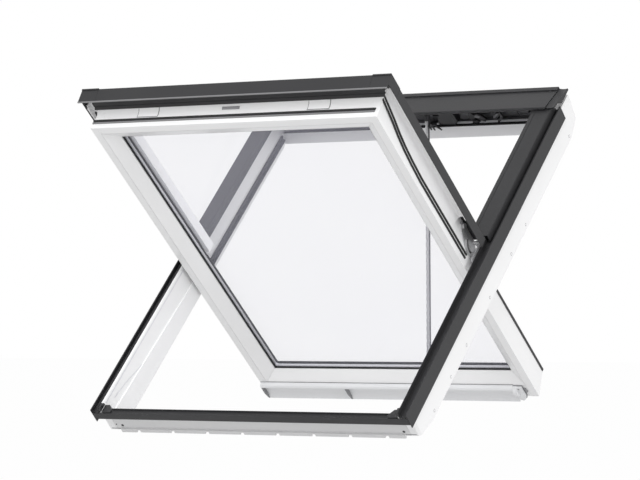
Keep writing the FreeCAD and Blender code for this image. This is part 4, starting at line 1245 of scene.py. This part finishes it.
@dataclass
class ControlBar:
    """Rounded bar along the top of the sash, with its tail, fins and end cap."""

    left: float = -350.0
    right: float = 303.6
    face: float = -50.1
    profile: tuple[Pair, ...] = ((394.0, -50.1), (394.0, -54.0), (396.0, -58.2), (400.0, -60.4),
                                 (404.5, -59.4), (407.0, -56.0), (407.6, -52.9),
                                 (411.0, -51.4), (418.0, -51.0), (426.0, -51.6),
                                 (435.0, -53.2), (444.0, -56.0), (444.0, -54.4),
                                 (435.0, -51.6), (426.0, -50.1))
    # A grey line under the bulge: painted shadow.
    shadow: tuple[Pair, ...] = ((407.4, -53.9), (408.9, -52.9), (408.7, -52.0), (407.0, -52.6))
    fins: tuple[float, ...] = (-349.9, -127.0)
    fin: tuple[Pair, ...] = ((404.0, face), (404.0, -60.0), (424.0, -60.5), (443.5, -56.5),
                             (443.5, -54.6), (432.0, face))
    fin_width: float = 2.6
    # A grey line along the bar's front edge: painted shade.
    joint: tuple[float, ...] = (392.6, 393.9, face - 0.4, face + 0.2)
    cap: tuple[Pair, ...] = ((305.0, 395.0), (325.0, 395.0), (325.0, 424.0), (322.0, 433.0),
                             (315.5, 438.5), (309.0, 437.0), (305.0, 428.0))
    cap_under: float = -57.4
    # A grey copy of the cap's outline, a little larger, sits under it as painted shadow in the
    # gap.
    rim_middle: Pair = (315.0, 416.0)
    rim_scale: Pair = (1.13, 1.06)
    rim_under: float = -53.0
    button: Triple = (317.0, 400.0, -57.3)
    catch: tuple[Pair, ...] = ((327.0, 403.0), (330.5, 403.0), (333.0, 414.0), (329.5, 416.0))
    catch_under: float = -54.0

    def build(self) -> None:
        """Build the bar and its cap and dress the round end piece."""
        dress("bar_end_disc", BAR_WHITE, 1.0)
        self.bar()
        self.end_cap()

    def bar(self) -> None:
        """Build the bar with a painted shadow line under its bulge and the two fins, and a painted
        shade line along its front edge.
        """
        form = Form()
        form.prism(self.profile, self.left, self.right, Axis.ACROSS)
        form.paint = 1
        form.prism(self.shadow, self.left, self.right, Axis.ACROSS)
        for place in self.fins:
            form.prism(self.fin, place, place + self.fin_width, Axis.ACROSS)
        piece = form.piece("handle_bar", Lie.SASH, BAR_WHITE, 0.3, second=JOINT_AND_SHADE)
        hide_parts("control_bar")
        # The line along the front edge is painted shade.
        joint = Form()
        joint.prism(box(*self.joint), self.left, self.right, Axis.ACROSS)
        joint.piece("bar_edge_shade", Lie.SASH, JOINT_AND_SHADE, 0.0)

    def end_cap(self) -> None:
        """Build the rounded cap at the right end of the bar, with painted shadow round it in the
        gap, and its catch.
        """
        form = Form()
        form.prism(self.cap, self.cap_under, self.face, Axis.HEIGHT)
        form.paint = 1
        # The larger grey outline under the cap is painted shadow.
        (x0, y0), (wide, long) = self.rim_middle, self.rim_scale
        rim = [(x0 + (x - x0) * wide, y0 + (y - y0) * long) for x, y in self.cap]
        form.prism(rim, self.rim_under, self.face, Axis.HEIGHT)
        form.lathe(disc_profile(2.0, 0.7), self.button, INWARD, 16)
        form.prism(self.catch, self.catch_under, self.face, Axis.HEIGHT)
        form.piece("bar_cap", Lie.SASH, BAR_WHITE, 0.5, second=JOINT_AND_SHADE)


@dataclass
class Hinges:
    """The two pivot hinges."""

    plate_face: float = 354.8
    backing: Pair = (352.02, 352.26)
    pivot: Pair = (0.0, PIVOT_HEIGHT)
    slot_radius: float = 24.0
    slot_width: float = 6.4
    slot_span: Pair = (-160.0, -60.0)
    rib_radius: float = 31.0
    rib_width: float = 2.2
    rib_span: Pair = (-150.0, -78.0)
    rib_faces: Pair = (plate_face - 0.1, plate_face + 1.0)
    bolt: Pair = (-55.0, 11.0)
    washer: Pair = (7.2, 0.8)
    bolt_head: tuple[Pair, ...] = ((5.0, 0.0), (5.0, 1.2), (4.2, 2.6), (2.6, 3.6), (0.9, 4.0))
    rivet: tuple[Pair, ...] = ((4.4, 0.0), (4.4, 1.0), (3.6, 2.2), (2.0, 2.9), (0.8, 3.1))

    def build(self) -> None:
        """Dress the plates and add the slot's backing, the rib and the bolt heads."""
        dress_pair("hinge_frame", STEEL, 0.4)
        dress_pair("hinge_sash", STEEL, 0.4)
        self.slot_backing()
        self.bright_parts()

    def arc(self, radius: float, start: float, end: float) -> list[Pair]:
        """Points on a circle round the pivot.

        Args:
            radius: Radius of the circle.
            start: First angle in degrees.
            end: Last angle in degrees.

        Returns:
            Pairs of Y and Z.
        """
        steps = 18
        spots = []
        for index in range(steps + 1):
            angle = math.radians(start + (end - start) * index / steps)
            spots.append((self.pivot[0] + radius * math.cos(angle),
                          self.pivot[1] + radius * math.sin(angle)))
        return spots

    def slot_backing(self) -> None:
        """Put the black guide behind the curved slot."""
        form = Form()
        inner = self.arc(self.slot_radius - self.slot_width / 2.0, *self.slot_span)
        form.prism(ribbon(inner, -self.slot_width), *self.backing, Axis.ACROSS)
        form.double().piece("slot_backing", Lie.SASH, PLASTIC, 0.0)

    def bright_parts(self) -> None:
        """Add the pressed rib round the slot and the domed head of the fixing bolt."""
        form = Form()
        rib = ribbon(self.arc(self.rib_radius, *self.rib_span), -self.rib_width)
        form.prism(rib, *self.rib_faces, Axis.ACROSS)
        form.lathe(self.bolt_head, (self.plate_face, *self.bolt), OUTWARD, 24)
        form.lathe(disc_profile(*self.washer), (self.rib_faces[0], *self.bolt), OUTWARD, 24)
        form.double().piece("hinge_rib", Lie.SASH, STEEL, 0.25)
        rivet = Form()
        rivet.lathe(self.rivet, (BODY_INNER - 0.35, *self.pivot), OUTWARD, 24)
        rivet.double().piece("pivot_rivet", Lie.FRAME, STEEL, 0.0)


@dataclass
class Studio:
    """Camera, floor, backdrop and soft light."""

    camera_place: Triple = (3.13306, -5.64128, -0.12074)
    camera_turn: Triple = (91.587, 0.0, 32.37)
    lens: float = 173.13
    floor_drop: float = 0.25
    floor_size: float = 60.0
    ambient: float = 0.88
    sensor: float = 36.0
    sight: float = 200.0
    lamps: tuple[tuple[str, Triple, Triple, float, float], ...] = (
        ("key_lamp", (0.8, -4.8, 3.8), (-0.2, 0.0, 0.0), 3.2, 172.0),
        ("side_lamp", (5.0, -1.6, 0.6), (-0.4, 0.0, 0.0), 2.6, 60.0))

    def build(self) -> None:
        """Set up everything round the object."""
        self.camera()
        self.floor()
        self.world()
        for lamp in self.lamps:
            self.lamp(*lamp)
        bpy.context.scene.view_settings.view_transform = "Standard"

    def camera(self) -> None:
        """Place the camera as the photograph was taken."""
        data = bpy.data.cameras.new("camera")
        data.lens = self.lens
        data.sensor_width = self.sensor
        data.clip_end = self.sight
        camera = bpy.data.objects.new("camera", data)
        camera.location = self.camera_place
        camera.rotation_euler = tuple(math.radians(angle) for angle in self.camera_turn)
        bpy.context.scene.collection.objects.link(camera)
        bpy.context.scene.camera = camera

    def floor(self) -> None:
        """Lay a wide pale floor below the object."""
        half = self.floor_size / 2.0
        height = CAD_BOX[0].z - self.floor_drop
        form = bmesh.new()
        corners = [(-half, -half), (half, -half), (half, half), (-half, half)]
        form.faces.new([form.verts.new((x, y, height)) for x, y in corners])
        data = bpy.data.meshes.new("floor")
        form.to_mesh(data)
        form.free()
        data.materials.append(Paints.of(STUDIO))
        floor = bpy.data.objects.new("floor", data)
        bpy.context.scene.collection.objects.link(floor)
        DRESSED.append("floor")

    def world(self) -> None:
        """Give an even white surrounding, plain white where it is seen."""
        sheet = Sheet(bpy.data.worlds.new("studio"))
        soft = sheet.add("Background", Color=PLAIN_WHITE, Strength=self.ambient)
        white = sheet.add("Background", Color=PLAIN_WHITE, Strength=1.0)
        rays = ("Is Camera Ray", "Is Transmission Ray")
        bpy.context.scene.world = sheet.finish(sheet.reveal(soft, white, rays))

    def lamp(self, name: str, place: Triple, target: Triple, size: float,
             power: float) -> None:
        """Add a soft square lamp.

        Args:
            name: The lamp's name.
            place: Where it stands.
            target: What it points at.
            size: Its width in metres.
            power: Its power in watts.
        """
        data = bpy.data.lights.new(name, "AREA")
        data.size = size
        data.energy = power
        lamp = bpy.data.objects.new(name, data)
        lamp.location = place
        aim = Vector(target) - Vector(place)
        lamp.rotation_euler = aim.to_track_quat("-Z", "Y").to_euler()
        bpy.context.scene.collection.objects.link(lamp)


def main() -> None:
    """Build the window and its studio."""
    logging.basicConfig(level=logging.INFO)
    parts = (FrameBody(), FrameCladding(), FrameSeals(), ChainOperator(), SashBody(),
             SashSeal(), SashCladding(), Glazing(), ControlBar(), Hinges(), Studio())
    for part in parts:
        part.build()
        LOG.info("%s: %s", type(part).__name__, ", ".join(DRESSED))
        DRESSED.clear()


if __name__ == "__main__":
    main()
